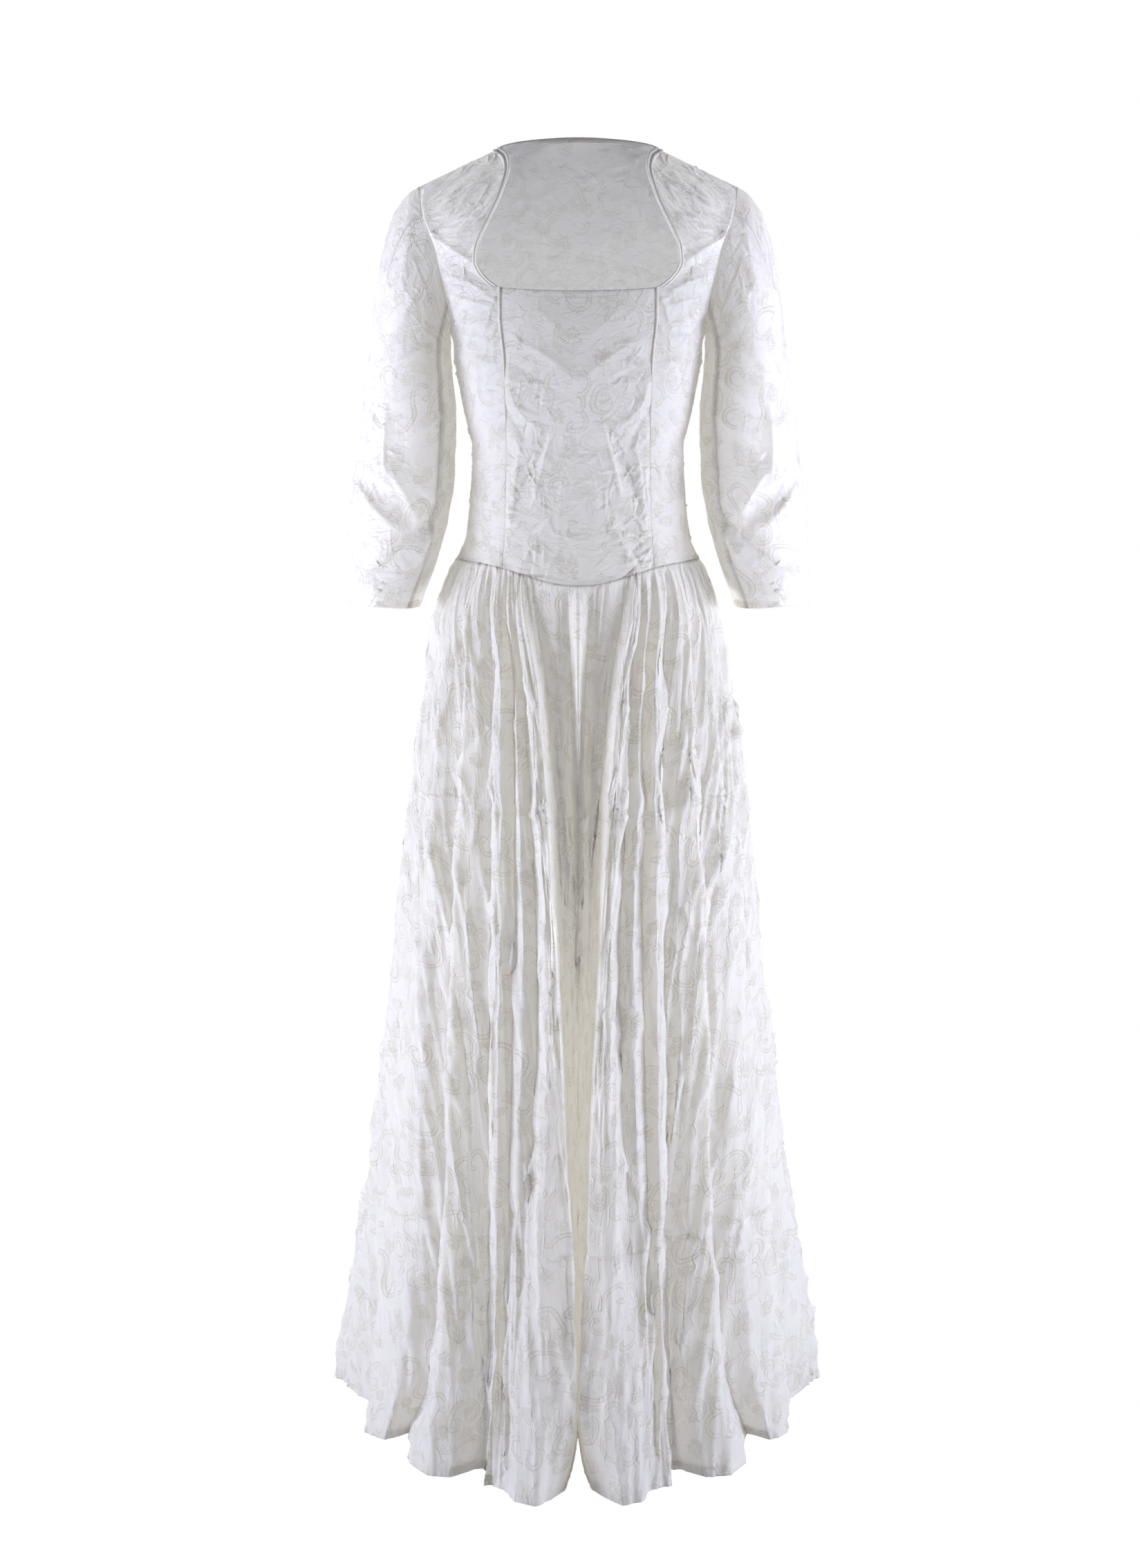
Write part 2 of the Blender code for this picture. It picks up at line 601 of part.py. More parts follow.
def back_fold_lines():
    """Fold lines of the back: ridges and valleys by turns, as uneven as those of the front."""
    count = 2 * BACK_FOLD_COUNT
    lines = [FoldLine((-90.0,) * len(SKIRT_LEVELS), SIDE_SEAM_OUTS)]
    for number in range(1, count):
        outs = BACK_VALLEY_OUTS if number % 2 else BACK_RIDGE_OUTS
        place = -90 + 180 * (number + BACK_PLACE_SHIFT * np.sin(BACK_PLACE_BEAT * number)) / count
        beats = BACK_SWAY_BEAT * number + BACK_LEVEL_BEAT * np.arange(len(SKIRT_LEVELS))
        sway = BACK_SWAY * np.sin(beats)
        size = BACK_SIZE + BACK_SIZE_CHANGE * np.sin(BACK_SIZE_BEAT * number + BACK_SIZE_PHASE)
        lines.append(FoldLine(tuple(place + s for s in sway), tuple(size * o for o in outs)))
    lines.append(FoldLine((90.0,) * len(SKIRT_LEVELS), SIDE_SEAM_OUTS))
    return lines


def skirt_back():
    """Gathered back."""
    lines = back_fold_lines()
    lines = [seam_line(lines[0]), *lines[1:-1], seam_line(lines[-1])]
    columns = (len(lines) - 1) * BACK_COLUMNS_PER_FOLD_LINE
    return skirt(lines, columns, SKIRT_BACK_ROWS, 1, BACK_DIP)


def normals(points):
    """Unit normals of a grid of points, turned away from the grid's own axis by outward()."""
    along = np.gradient(points, axis=0)
    across = np.gradient(points, axis=1)
    normal = np.cross(along, across)
    normal /= np.linalg.norm(normal, axis=-1, keepdims=True)
    return normal * outward(points, normal)


def outward(points, normal):
    """1 or -1, so that the normals of a piece point away from the hollow that it bends round."""
    middle = points.reshape(-1, 3).mean(axis=0)
    on_sleeve = middle[0] > SLEEVE_RINGS[-1].x_in
    axis = SLEEVE_AXIS if on_sleeve else (0.0, 0.0)
    away = points[..., :2] - np.array(axis)
    return np.sign((normal[..., :2] * away).sum())


def squared_rims(normal, level_rows, side_columns):
    """Turns the normals of some rows level and of some columns away from Y, so those rims stay at the seam."""
    for row in level_rows:
        normal[row, :, 2] = 0
    for column in side_columns:
        normal[:, column, 1] = 0
    return normal / np.linalg.norm(normal, axis=-1, keepdims=True)


def cloth_wall(name, points, material, parent, wall=WALL, level_rows=(), side_columns=(), mirror=False):
    """A closed wall of cloth, half its thickness to each side of a grid of points in millimetres."""
    normal = squared_rims(normals(points), level_rows, side_columns)
    if mirror:
        points, normal = points * (-1, 1, 1), normal * (-1, 1, 1)
    last_row, last_column = points.shape[0] - 1, points.shape[1] - 1
    mesh = bmesh.new()
    bmesh.ops.create_grid(mesh, x_segments=last_column, y_segments=last_row, size=1)
    raised = bmesh.ops.extrude_face_region(mesh, geom=mesh.faces[:], use_keep_orig=True)
    outer = {v for v in raised["geom"] if isinstance(v, bmesh.types.BMVert)}
    for vertex in mesh.verts:
        column = round((vertex.co.x + 1) / 2 * last_column)
        row = round((vertex.co.y + 1) / 2 * last_row)
        side = wall / 2 if vertex in outer else -wall / 2
        vertex.co = (points[row, column] + side * normal[row, column]) * MM
    bmesh.ops.recalc_face_normals(mesh, faces=mesh.faces)
    if mesh.calc_volume(signed=True) < 0:
        bmesh.ops.reverse_faces(mesh, faces=mesh.faces)
    data = bpy.data.meshes.new(name)
    mesh.to_mesh(data)
    mesh.free()
    data.shade_smooth()
    data.materials.append(material)
    piece = bpy.data.objects.new(name, data)
    piece.parent = parent
    bpy.context.scene.collection.objects.link(piece)
    return piece


def cloth_material(name, colour, roughness):
    """Matt woven cotton of one colour."""
    material = bpy.data.materials.new(name)
    material.use_nodes = True
    shader = material.node_tree.nodes["Principled BSDF"]
    shader.inputs["Base Color"].default_value = colour
    shader.inputs["Roughness"].default_value = roughness
    shader.inputs["Metallic"].default_value = 0.0
    return material


def clear_scene():
    """Removes every object of the start scene."""
    for piece in list(bpy.data.objects):
        bpy.data.objects.remove(piece)


def build_bodice(voile, binding, mount):
    """Panels of the bodice with their bound and corded edges."""
    cloth_wall("bodice_front_centre", bodice_front_centre(), voile, mount, level_rows=(0, -1))
    cloth_wall("bodice_back", bodice_back(), voile, mount, level_rows=(0,))
    cloth_wall("neck_binding_back", neck_binding_back(), binding, mount, wall=BINDING_WALL)
    for side, mirror in (("right", False), ("left", True)):
        cloth_wall(
            f"bodice_front_side_{side}", bodice_front_side(), voile, mount, level_rows=(0,), mirror=mirror
        )
        cloth_wall(
            f"neck_binding_{side}", neck_binding_side(), binding, mount, wall=BINDING_WALL, mirror=mirror
        )
        cloth_wall(
            f"princess_piping_{side}", princess_piping(), binding, mount, wall=PIPING_WALL, mirror=mirror
        )


def build_sleeves(voile, mount):
    """Two-piece sleeves, the front part between its seams and the back part round the rest."""
    front_seam, outer_seam = SLEEVE_SEAM_FRONT, SLEEVE_SEAM_OUTER
    gap = SLEEVE_SEAM_HALF_GAP
    front = sleeve(front_seam + gap, outer_seam - gap, SLEEVE_FRONT_COLUMNS)
    back = sleeve(outer_seam + gap, front_seam + 360 - gap, SLEEVE_BACK_COLUMNS)
    for side, mirror in (("right", False), ("left", True)):
        cloth_wall(f"sleeve_front_{side}", front, voile, mount, mirror=mirror)
        cloth_wall(f"sleeve_back_{side}", back, voile, mount, mirror=mirror)


def build_skirt(voile, mount):
    """Front and back of the skirt."""
    for name, points in (("skirt_front", skirt_front()), ("skirt_back", skirt_back())):
        cloth_wall(name, points, voile, mount, level_rows=(0, -1), side_columns=(0, -1))


def main():
    """Builds the dress round an empty at its shoulder mount."""
    clear_scene()
    mount = bpy.data.objects.new("worn_on_shoulders", None)
    bpy.context.scene.collection.objects.link(mount)
    voile = cloth_material("white_cotton_voile", VOILE_COLOUR, 0.9)
    binding = cloth_material("white_cotton_binding", BINDING_COLOUR, 0.85)
    build_bodice(voile, binding, mount)
    build_sleeves(voile, mount)
    build_skirt(voile, mount)


main()
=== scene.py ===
"""The looks of a long white voile dress with a square neck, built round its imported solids.

Every surface is laid in millimetres through the same forms as the solids: the front and the back of the
body, the sleeves, and the skirt with its folds. Each panel is one thin sheet of cloth with its edges turned
under, and carries a map of its flat cloth, in metres, for the printed pattern and the weave.
"""

from __future__ import annotations

import logging
import math
from dataclasses import dataclass, field
from enum import Enum
from typing import Callable, Sequence

import bmesh
import bpy
import numpy as np
from mathutils import Euler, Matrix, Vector

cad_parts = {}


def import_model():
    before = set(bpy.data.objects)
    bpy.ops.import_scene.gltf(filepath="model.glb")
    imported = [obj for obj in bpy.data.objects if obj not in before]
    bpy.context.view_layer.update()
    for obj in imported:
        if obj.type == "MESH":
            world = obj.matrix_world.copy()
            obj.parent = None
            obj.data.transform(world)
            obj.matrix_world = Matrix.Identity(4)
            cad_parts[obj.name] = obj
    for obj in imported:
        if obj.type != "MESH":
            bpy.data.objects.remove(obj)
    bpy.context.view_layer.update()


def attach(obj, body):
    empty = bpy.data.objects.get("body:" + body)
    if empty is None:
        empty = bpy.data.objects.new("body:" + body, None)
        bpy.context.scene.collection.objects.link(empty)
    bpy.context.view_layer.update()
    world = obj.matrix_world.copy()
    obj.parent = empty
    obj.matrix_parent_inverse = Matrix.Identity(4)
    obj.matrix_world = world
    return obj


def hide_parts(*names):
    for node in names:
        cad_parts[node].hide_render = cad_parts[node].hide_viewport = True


LOG = logging.getLogger("dress")
MM = 0.001
BODY = "root"
CLOTH_MAP = "cloth"
SEED = 7
Number = float | np.ndarray
Socket = bpy.types.NodeSocket
Tree = bpy.types.NodeTree

# Levels of the dress, in millimetres from the shoulders
HEM_Z = -1430.0
WAIST_Z = -434.0
UNDERARM_Z = -176.0
PIPING_END_Z = -232.0
CHEST_Z = -131.0
UPPER_BACK_Z = -90.0
TOP_LEVEL = 0.0

# How steeply a pressed wrinkle falls away from its line
CREST_FALL = 1.3


@dataclass(frozen=True)
class Ring:
    """Half sizes of the body or the skirt at a height, in millimetres."""

    z: float
    half_width: float
    front: float
    back: float


@dataclass(frozen=True)
class Edge:
    """The half width of a panel's edge at a height."""

    z: float
    x: float


@dataclass(frozen=True)
class SleeveRing:
    """A sleeve from its inner side to its outer side, and how far its middle lies to the front."""

    z: float
    x_in: float
    x_out: float
    forward: float
    half_depth: float


@dataclass(frozen=True)
class SleeveFold:
    """A drag fold round a sleeve, from a turn and height to another, with its height and width."""

    turn: float
    z: float
    to_turn: float
    to_z: float
    height: float
    width: float


@dataclass(frozen=True)
class FoldLine:
    """A line down the skirt: its angle from the centre and how far it stands out, at SKIRT_LEVELS."""

    turns: tuple[float, ...]
    outs: tuple[float, ...]


RINGS = (
    Ring(-1430, 292, 350, 300),
    Ring(-1330, 275, 322, 280),
    Ring(-1200, 252, 293, 256),
    Ring(-950, 219, 243, 212),
    Ring(-700, 190, 186, 172),
    Ring(-570, 171, 152, 148),
    Ring(-500, 163, 131, 127),
    Ring(-465, 152, 119, 111),
    Ring(-434, 138, 112, 98),
    Ring(-410, 128, 107, 89),
    Ring(-360, 122.5, 103, 82),
    Ring(-310, 120, 104, 82),
    Ring(-280, 126.7, 112, 88),
    Ring(-226, 137, 123, 99),
    Ring(-176, 143.5, 120, 106),
    Ring(-131, 162, 110, 108),
    Ring(-90, 180, 97, 106),
    Ring(-40, 198, 70, 90),
    Ring(0, 206, 40, 60),
)
PRINCESS_SEAM = (Edge(-455, 84), Edge(-307, 79.7), Edge(-208, 81.7), Edge(-162, 86.0), Edge(-131, 86.5))
NECK_EDGE = (
    Edge(-131, 86.5),
    Edge(-125.5, 94.9),
    Edge(-113.5, 106.4),
    Edge(-102, 111),
    Edge(-86.5, 109.6),
    Edge(-69, 102.5),
    Edge(-51.6, 94.1),
    Edge(-25.6, 82.9),
    Edge(3.1, 75.5),
    Edge(15.7, 78),
    Edge(23.5, 86.6),
)
FRONT_ARMHOLE = (
    Edge(-176, 143.5),
    Edge(-157, 143.8),
    Edge(-131, 148.5),
    Edge(-95, 157.5),
    Edge(-73, 163.2),
    Edge(-46, 174.0),
    Edge(-30, 176.5),
    Edge(-19, 177.5),
)
BACK_ARMHOLE = (
    Edge(-176, 143.5),
    Edge(-150, 145.5),
    Edge(-120, 151),
    Edge(-90, 158),
    Edge(-60, 166),
    Edge(-35, 173),
    Edge(-19, 177.5),
)
SLEEVE_RINGS = (
    SleeveRing(-484, 180, 262.7, 28, 53),
    SleeveRing(-431, 160, 261.5, 21, 55),
    SleeveRing(-389, 148, 259, 16, 57),
    SleeveRing(-336, 140.5, 253.5, 10, 58),
    SleeveRing(-280, 138.5, 246, 6, 59),
    SleeveRing(-232, 142, 238, 3, 61),
    SleeveRing(-205, 144, 234.5, 2, 62),
)
SLEEVE_FOLDS = (
    SleeveFold(-38, -402, 48, -474, 6.5, 15),
    SleeveFold(-20, -352, 42, -318, 5.0, 13),
    SleeveFold(8, -398, 70, -352, 5.0, 14),
    SleeveFold(30, -300, 34, -225, 3.0, 12),
    SleeveFold(150, -330, 215, -362, 5.0, 16),
    SleeveFold(120, -420, 200, -398, 4.5, 16),
    SleeveFold(160, -250, 230, -225, 3.5, 16),
)
SKIRT_LEVELS = (0.0, 0.125, 0.51, 0.9, 1.0)
FRONT_FOLDS = (
    FoldLine((0.0, 0.0, 0.0, 0.0, 0.0), (1.2, -4, -80, -160, -182)),
    FoldLine((4.2, 3.0, 1.3, 0.32, 0.9), (-1.6, -26, -70, -130, -145)),
    FoldLine((10.0, 7.3, 2.5, 0.48, 1.5), (0, -16, -58, -95, -110)),
    FoldLine((21.0, 12.8, 3.9, 0.62, 2.2), (-2, -20, -36, -60, -78)),
    FoldLine((24.8, 14.5, 5.0, 0.80, 3.3), (2, 6, 3, -6, -32)),
    FoldLine((27.2, 17.5, 8.5, 8.0, 9.0), (1.2, 4, 7, 9, 11)),
    FoldLine((29.5, 20.8, 12.7, 14.2, 13.2), (-2, -9, -10, 0, 4)),
    FoldLine((31.9, 23.0, 16.0, 16.8, 16.5), (1.6, 6, 2, -12, -18)),
    FoldLine((34.9, 26.0, 20.3, 19.2, 19.6), (-2, -9, -9, -18, -22)),
    FoldLine((37.5, 28.5, 22.8, 21.0, 22.6), (1.6, 9, 6, -10, -20)),
    FoldLine((40.0, 31.0, 25.0, 23.5, 26.2), (-1.2, 2, 0, -40, -58)),
    FoldLine((43.0, 35.5, 29.0, 26.6, 29.4), (-2, -11, -18, -40, -50)),
    FoldLine((46.4, 39.6, 33.5, 29.5, 31.5), (1.2, 3, -4, -16, -18)),
    FoldLine((50.2, 44.6, 38.8, 34.5, 36.0), (1.6, 9, 8, 2, -6)),
    FoldLine((52.5, 47.8, 41.2, 38.0, 43.0), (-1.2, -2, -4, -8, -14)),
    FoldLine((55.0, 51.5, 44.0, 42.0, 50.0), (-2, -14, -26, -42, -42)),
    FoldLine((58.2, 55.6, 47.0, 46.6, 56.5), (1.2, -5, -22, -46, -56)),
    FoldLine((61.5, 59.6, 52.0, 50.5, 55.8), (1.6, 5, -3, -18, -24)),
    FoldLine((66.0, 64.5, 61.5, 60.5, 61.0), (1.6, 9, 8, -4, -14)),
    FoldLine((70.4, 70.0, 67.0, 69.0, 75.0), (-2, -10, -12, -32, -42)),
    FoldLine((75.5, 76.0, 75.0, 76.5, 84.0), (1.6, 8, 7, -4, -18)),
    FoldLine((82.5, 83.0, 83.0, 84.0, 87.5), (-2, -8, -5, -8, -10)),
    FoldLine((90.0, 90.0, 90.0, 90.0, 90.0), (1.2, 5, 4, 4, 4)),
)


def smooth(places: Sequence[float], values: np.ndarray, at: np.ndarray) -> np.ndarray:
    """Reads values at new places by a monotone cubic.

    Args:
        places: where the values stand, rising.
        values: the values, whose last axis follows places.
        at: the new places.

    Returns:
        The values at the new places.
    """
    places, values = np.asarray(places, float), np.asarray(values, float)
    at = np.clip(at, places[0], places[-1])
    step = np.diff(places)
    rise = np.diff(values, axis=-1) / step
    before, after = rise[..., :-1], rise[..., 1:]
    same_way = before * after > 0
    near, far = 2 * step[1:] + step[:-1], step[1:] + 2 * step[:-1]
    safe_before = np.where(same_way, before, 1.0)
    safe_after = np.where(same_way, after, 1.0)
    inner = np.where(same_way, (near + far) / (near / safe_before + far / safe_after), 0.0)
    slope = np.concatenate([rise[..., :1], inner, rise[..., -1:]], axis=-1)
    span = np.clip(np.searchsorted(places, at, side="right") - 1, 0, len(places) - 2)
    width = step[span]
    t = (at - places[span]) / width
    return (
        values[..., span] * (1 + 2 * t) * (1 - t) ** 2
        + values[..., span + 1] * t * t * (3 - 2 * t)
        + slope[..., span] * width * t * (1 - t) ** 2
        + slope[..., span + 1] * width * t * t * (t - 1)
    )


def straight(values: np.ndarray, at: np.ndarray) -> np.ndarray:
    """Reads values that stand at 0, 1, 2 and on in between, by straight lines."""
    low = np.clip(np.floor(at).astype(int), 0, values.shape[-1] - 2)
    return values[..., low] + (values[..., low + 1] - values[..., low]) * (at - low)


def hermite(start: Number, leave: Number, end: Number, arrive: Number, t: Number) -> Number:
    """A cubic from start to end that leaves and arrives with the given slopes.

    Args:
        start: the value where t is 0.
        leave: the slope there.
        end: the value where t is 1.
        arrive: the slope there.
        t: how far along, from 0 to 1.

    Returns:
        The value at t.
    """
    return (
        start * (1 + 2 * t) * (1 - t) ** 2
        + end * t * t * (3 - 2 * t)
        + leave * t * (1 - t) ** 2
        + arrive * t * t * (t - 1)
    )


def blend(low: float, high: float, value: Number) -> Number:
    """0 at low and before it, 1 at high and past it, and a smooth step between."""
    t = np.clip((value - low) / (high - low), 0, 1)
    return t * t * (3 - 2 * t)


def crest(away: Number, rounding: float) -> Number:
    """The section of a pressed wrinkle: about 1 on its line, rounded on top, and steep beside it."""
    top = round(math.sqrt(rounding), 3)
    return np.exp(-CREST_FALL * (np.sqrt(away**2 + rounding) - top))


def stacked(x: Number, y: Number, z: Number) -> np.ndarray:
    """Points from their three coordinates."""
    return np.stack(np.broadcast_arrays(x, y, z), axis=-1)


def read(rows: Sequence, name: str, z: Number) -> np.ndarray:
    """A named column of a table with heights, read at z."""
    return smooth([row.z for row in rows], [getattr(row, name) for row in rows], z)


def linear_colour(hex_code: str) -> tuple[float, float, float, float]:
    """Turns an sRGB colour into linear values.

    Args:
        hex_code: the colour, as a hash sign and six digits.

    Returns:
        Red, green and blue from 0 to 1, and full alpha.
    """
    values = [int(hex_code[i : i + 2], 16) / 255 for i in (1, 3, 5)]
    linear = [v / 12.92 if v <= 0.04045 else ((v + 0.055) / 1.055) ** 2.4 for v in values]
    return (*linear, 1.0)


class Rim(Enum):
    """The four rims of a panel's grid."""

    FIRST_ROW = "first row"
    LAST_ROW = "last row"
    FIRST_COLUMN = "first column"
    LAST_COLUMN = "last column"


SIDES = (Rim.FIRST_COLUMN, Rim.LAST_COLUMN)


@dataclass(frozen=True)
class Crease:
    """A soft ridge, or with a height below 0 a trough, from one place to another, in millimetres.

    The places are x and z as seen from the front. The width is narrowed by taper towards the far end, and
    bow bends the line sideways. Its height fades by a sine that starts and ends a little way in.
    """

    x: float
    z: float
    to_x: float
    to_z: float
    height: float
    width: float
    bow: float = 0.0
    taper: float = 0.0
    rounding: float = 0.12
    end: float = 0.12
    fullness: float = 0.8

    def lift(self, x: np.ndarray, z: np.ndarray) -> np.ndarray:
        """How far the crease lifts the cloth at each place.

        Args:
            x: distances from the centre line.
            z: heights.

        Returns:
            The heights of the crease, which fade out towards both of its ends.
        """
        run = np.array([self.to_x - self.x, self.to_z - self.z])
        length = np.hypot(*run)
        along = ((x - self.x) * run[0] + (z - self.z) * run[1]) / length
        aside = ((z - self.z) * run[0] - (x - self.x) * run[1]) / length
        t = np.clip(along / length, 0, 1)
        aside = aside - self.bow * np.sin(np.pi * t)
        away = np.hypot(aside, along - t * length) / (self.width * (1 - self.taper * t))
        fade = np.sin(np.pi * (self.end + (1 - 2 * self.end) * t)) ** self.fullness
        return self.height * crest(away, self.rounding) * fade


@dataclass(frozen=True)
class Crumple:
    """The small sharp wrinkles of washed voile: many short ridges and troughs over broad flat facets.

    Sizes are in millimetres on the flat cloth. The ridges mostly run at the angle of lean, in degrees from
    across the cloth, and stray from it by spread.
    """

    spacing: float = 8.0
    length: float = 30.0
    width: float = 1.5
    height: float = 1.9
    lean: float = 20.0
    spread: float = 50.0
    facet: float = 0.9
    facet_size: float = 42.0
    ridges: float = 0.66
    seed: int = SEED
    rounding: float = 0.15
    tail: float = 12.0
    sizes: tuple[float, float] = (0.35, 1.0)
    widths: tuple[float, float] = (0.7, 1.5)
    bow: float = 0.16
    trough: float = 0.8
    waves: int = 7
    wave_sizes: tuple[float, float] = (0.6, 1.7)
    wave_bend: float = 0.12
    patch_mm: tuple[float, float] = (35.0, 80.0)

    def lift(self, flat: np.ndarray) -> np.ndarray:
        """How far the wrinkles lift the cloth.

        Args:
            flat: places on the flat cloth.

        Returns:
            The height at each place.
        """
        draw = np.random.default_rng(self.seed)
        u, v = flat[..., 0], flat[..., 1]
        low, high = flat.reshape(-1, 2).min(axis=0), flat.reshape(-1, 2).max(axis=0)
        count = int((high[0] - low[0]) * (high[1] - low[1]) / (self.spacing * self.length))
        total = self.facets(u, v, draw)
        for _ in range(count):
            place = draw.uniform(low, high)
            way = np.radians(self.lean + self.spread * draw.normal())
            size = draw.uniform(*self.sizes)
            half = self.length / 2 * (0.3 + 1.1 * size)
            width = self.width * draw.uniform(*self.widths)
            height = self.height * (0.3 + 0.9 * size) * (1 if draw.uniform() < self.ridges else -self.trough)
            bow = half * draw.uniform(-self.bow, self.bow)
            reach = half + self.tail
            near = (np.abs(u - place[0]) < reach) & (np.abs(v - place[1]) < reach)
            x, y = u[near] - place[0], v[near] - place[1]
            along = (x * np.cos(way) + y * np.sin(way)) / half
            aside = y * np.cos(way) - x * np.sin(way) - bow * (1 - along**2)
            total[near] += height * crest(aside / width, self.rounding) * np.clip(1 - along**2, 0, 1)
        return total

    def facets(self, u: np.ndarray, v: np.ndarray, draw: np.random.Generator) -> np.ndarray:
        """Broad facets that meet in soft edges.

        Args:
            u: places across the flat cloth.
            v: places up it.
            draw: where the uneven sizes come from.

        Returns:
            The height at each place.
        """
        total = np.zeros(u.shape)
        for _ in range(self.waves):
            length = self.facet_size * draw.uniform(*self.wave_sizes)
            way = draw.uniform(0, np.pi)
            phase = draw.uniform(0, 2 * np.pi)
            turn = (u * np.sin(way) - v * np.cos(way)) / (0.9 * length) + phase
            bend = self.wave_bend * length * np.sin(turn)
            along = (u * np.cos(way) + v * np.sin(way) + bend) / length + phase
            patch = u / draw.uniform(*self.patch_mm) + v / draw.uniform(*self.patch_mm) + phase
            size = (0.5 + 0.5 * np.sin(patch)) * length / self.facet_size
            total += (1 - 4 * np.abs(along - np.floor(along) - 0.5)) * size
        return self.facet * total / np.sqrt(self.waves)


@dataclass
class Panel:
    """A grid of cloth in millimetres, with each point's place on the flat cloth.

    Attributes:
        points: rows by columns by 3.
        flat: rows by columns by 2, across and up the cloth.
        centre: the level place that the panel bends round, so that its outer side is known.
    """

    points: np.ndarray
    flat: np.ndarray
    centre: tuple[float, float] = (0.0, 0.0)

    def normals(self) -> np.ndarray:
        """Works out which way the cloth faces.

        Returns:
            Unit normals that point out of the garment.
        """
        normal = np.cross(np.gradient(self.points, axis=0), np.gradient(self.points, axis=1))
        normal /= np.maximum(np.linalg.norm(normal, axis=-1, keepdims=True), 1e-9)
        away = self.points[..., :2] - np.array(self.centre)
        return normal * np.sign((normal[..., :2] * away).sum())

    def lift(self, height: np.ndarray) -> None:
        """Moves the cloth out by a height at each point."""
        self.points = self.points + self.normals() * height[..., None]

    def crease(self, creases: Sequence[Crease], front: bool = True, share: Number = 1.5) -> None:
        """Presses creases into the front or the back of the cloth, alike on both halves.

        Args:
            creases: the creases of one half.
            front: whether they lie in the front.
            share: how much of their height the cloth takes.
        """
        x, z = np.abs(self.points[..., 0]), self.points[..., 2]
        total = share * sum(crease.lift(x, z) for crease in creases)
        depth = self.points[..., 1] - self.centre[1]
        self.lift(total * blend(-6.0, 18.0, -depth if front else depth))

    def openness(self) -> np.ndarray:
        """Tells open cloth from the sides of steep folds.

        Returns:
            0 where the cloth runs back into a fold and 1 where it faces out.
        """
        away = self.points[..., :2] - np.array(self.centre)
        away /= np.maximum(np.linalg.norm(away, axis=-1, keepdims=True), 1e-9)
        return blend(0.1, 0.75, (self.normals()[..., :2] * away).sum(axis=-1))

    def rim_distance(self, rim: Rim) -> np.ndarray:
        """Distance along the cloth from a rim.

        Args:
            rim: the rim to measure from.

        Returns:
            The distance of each point.
        """
        axis = 0 if rim in (Rim.FIRST_ROW, Rim.LAST_ROW) else 1
        step = np.linalg.norm(np.diff(self.points, axis=axis), axis=-1)
        total = np.insert(np.cumsum(step, axis=axis), 0, 0.0, axis=axis)
        from_start = rim in (Rim.FIRST_ROW, Rim.FIRST_COLUMN)
        return total if from_start else total.take([-1], axis=axis) - total

    def clear_of(self, rims: Sequence[Rim], reach: float = 7.0) -> np.ndarray:
        """0 on the rims and 1 past a reach from them, so that panels meet evenly at their seams."""
        return np.prod([blend(0.0, reach, self.rim_distance(rim)) for rim in rims], axis=0)

    def groove(self, rims: Sequence[Rim], depth: float, width: float, inset: float = 0.0) -> None:
        """Sinks a line with a half width beside rims, as a seam or a row of stitches does."""
        total = sum(np.exp(-(((self.rim_distance(rim) - inset) / width) ** 2)) for rim in rims)
        self.lift(-depth * total)

    def turn_under(self, rim: Rim, count: int, depth: float = 0.2) -> None:
        """Folds some rows or columns back under the cloth, as a hem or a seam allowance.

        Args:
            rim: the rim to fold.
            count: how many rows or columns go under.
            depth: how far under the cloth they lie.
        """
        under = self.points - self.normals() * depth
        across = rim in SIDES
        points, under, flat = [a.swapaxes(0, 1) if across else a for a in (self.points, under, self.flat)]
        if rim in (Rim.FIRST_ROW, Rim.FIRST_COLUMN):
            turned = under[: count + 1][::-1]
            turned_flat = (2 * flat[:1] - flat[: count + 1])[::-1]
            points, flat = np.concatenate([turned, points]), np.concatenate([turned_flat, flat])
        else:
            turned = under[: -count - 2 : -1]
            turned_flat = 2 * flat[-1:] - flat[: -count - 2 : -1]
            points, flat = np.concatenate([points, turned]), np.concatenate([flat, turned_flat])
        self.points, self.flat = [a.swapaxes(0, 1) if across else a for a in (points, flat)]

    def mirrored(self) -> "Panel":
        """The same panel for the left half."""
        return Panel(self.points * (-1, 1, 1), self.flat * (-1, 1), (-self.centre[0], self.centre[1]))

    def object(self, name: str, material: bpy.types.Material) -> bpy.types.Object:
        """Makes the panel's mesh, with its outer side out and its map of the flat cloth.

        Args:
            name: the object's name.
            material: its finish.

        Returns:
            The object, in the scene.
        """
        rows, columns = self.points.shape[0] - 1, self.points.shape[1] - 1
        mesh = bmesh.new()
        bmesh.ops.create_grid(mesh, x_segments=columns, y_segments=rows, size=1)
        data = bpy.data.meshes.new(name)
        mesh.to_mesh(data)
        mesh.free()
        place = np.empty(len(data.vertices) * 3)
        data.vertices.foreach_get("co", place)
        place = place.reshape(-1, 3)
        column = np.rint((place[:, 0] + 1) / 2 * columns).astype(int)
        row = np.rint((place[:, 1] + 1) / 2 * rows).astype(int)
        data.vertices.foreach_set("co", (self.points[row, column] * MM).ravel())
        corner = np.empty(len(data.loops), dtype=int)
        data.loops.foreach_get("vertex_index", corner)
        uv_map = data.uv_layers.new(name=CLOTH_MAP)
        uv_map.data.foreach_set("uv", (self.flat[row, column] * MM)[corner].ravel())
        data.update()
        self.face_out(data, row, column)
        data.shade_smooth()
        data.materials.append(material)
        return link(bpy.data.objects.new(name, data))

    def face_out(self, data: bpy.types.Mesh, row: np.ndarray, column: np.ndarray) -> None:
        """Turns the faces over when they look into the garment.

        Args:
            data: the mesh.
            row: the row of each vertex.
            column: the column of each vertex.
        """
        facing = np.empty(len(data.vertices) * 3)
        data.vertex_normals.foreach_get("vector", facing)
        wanted = self.normals()[row, column]
        if (facing.reshape(-1, 3) * wanted).sum() < 0:
            data.flip_normals()


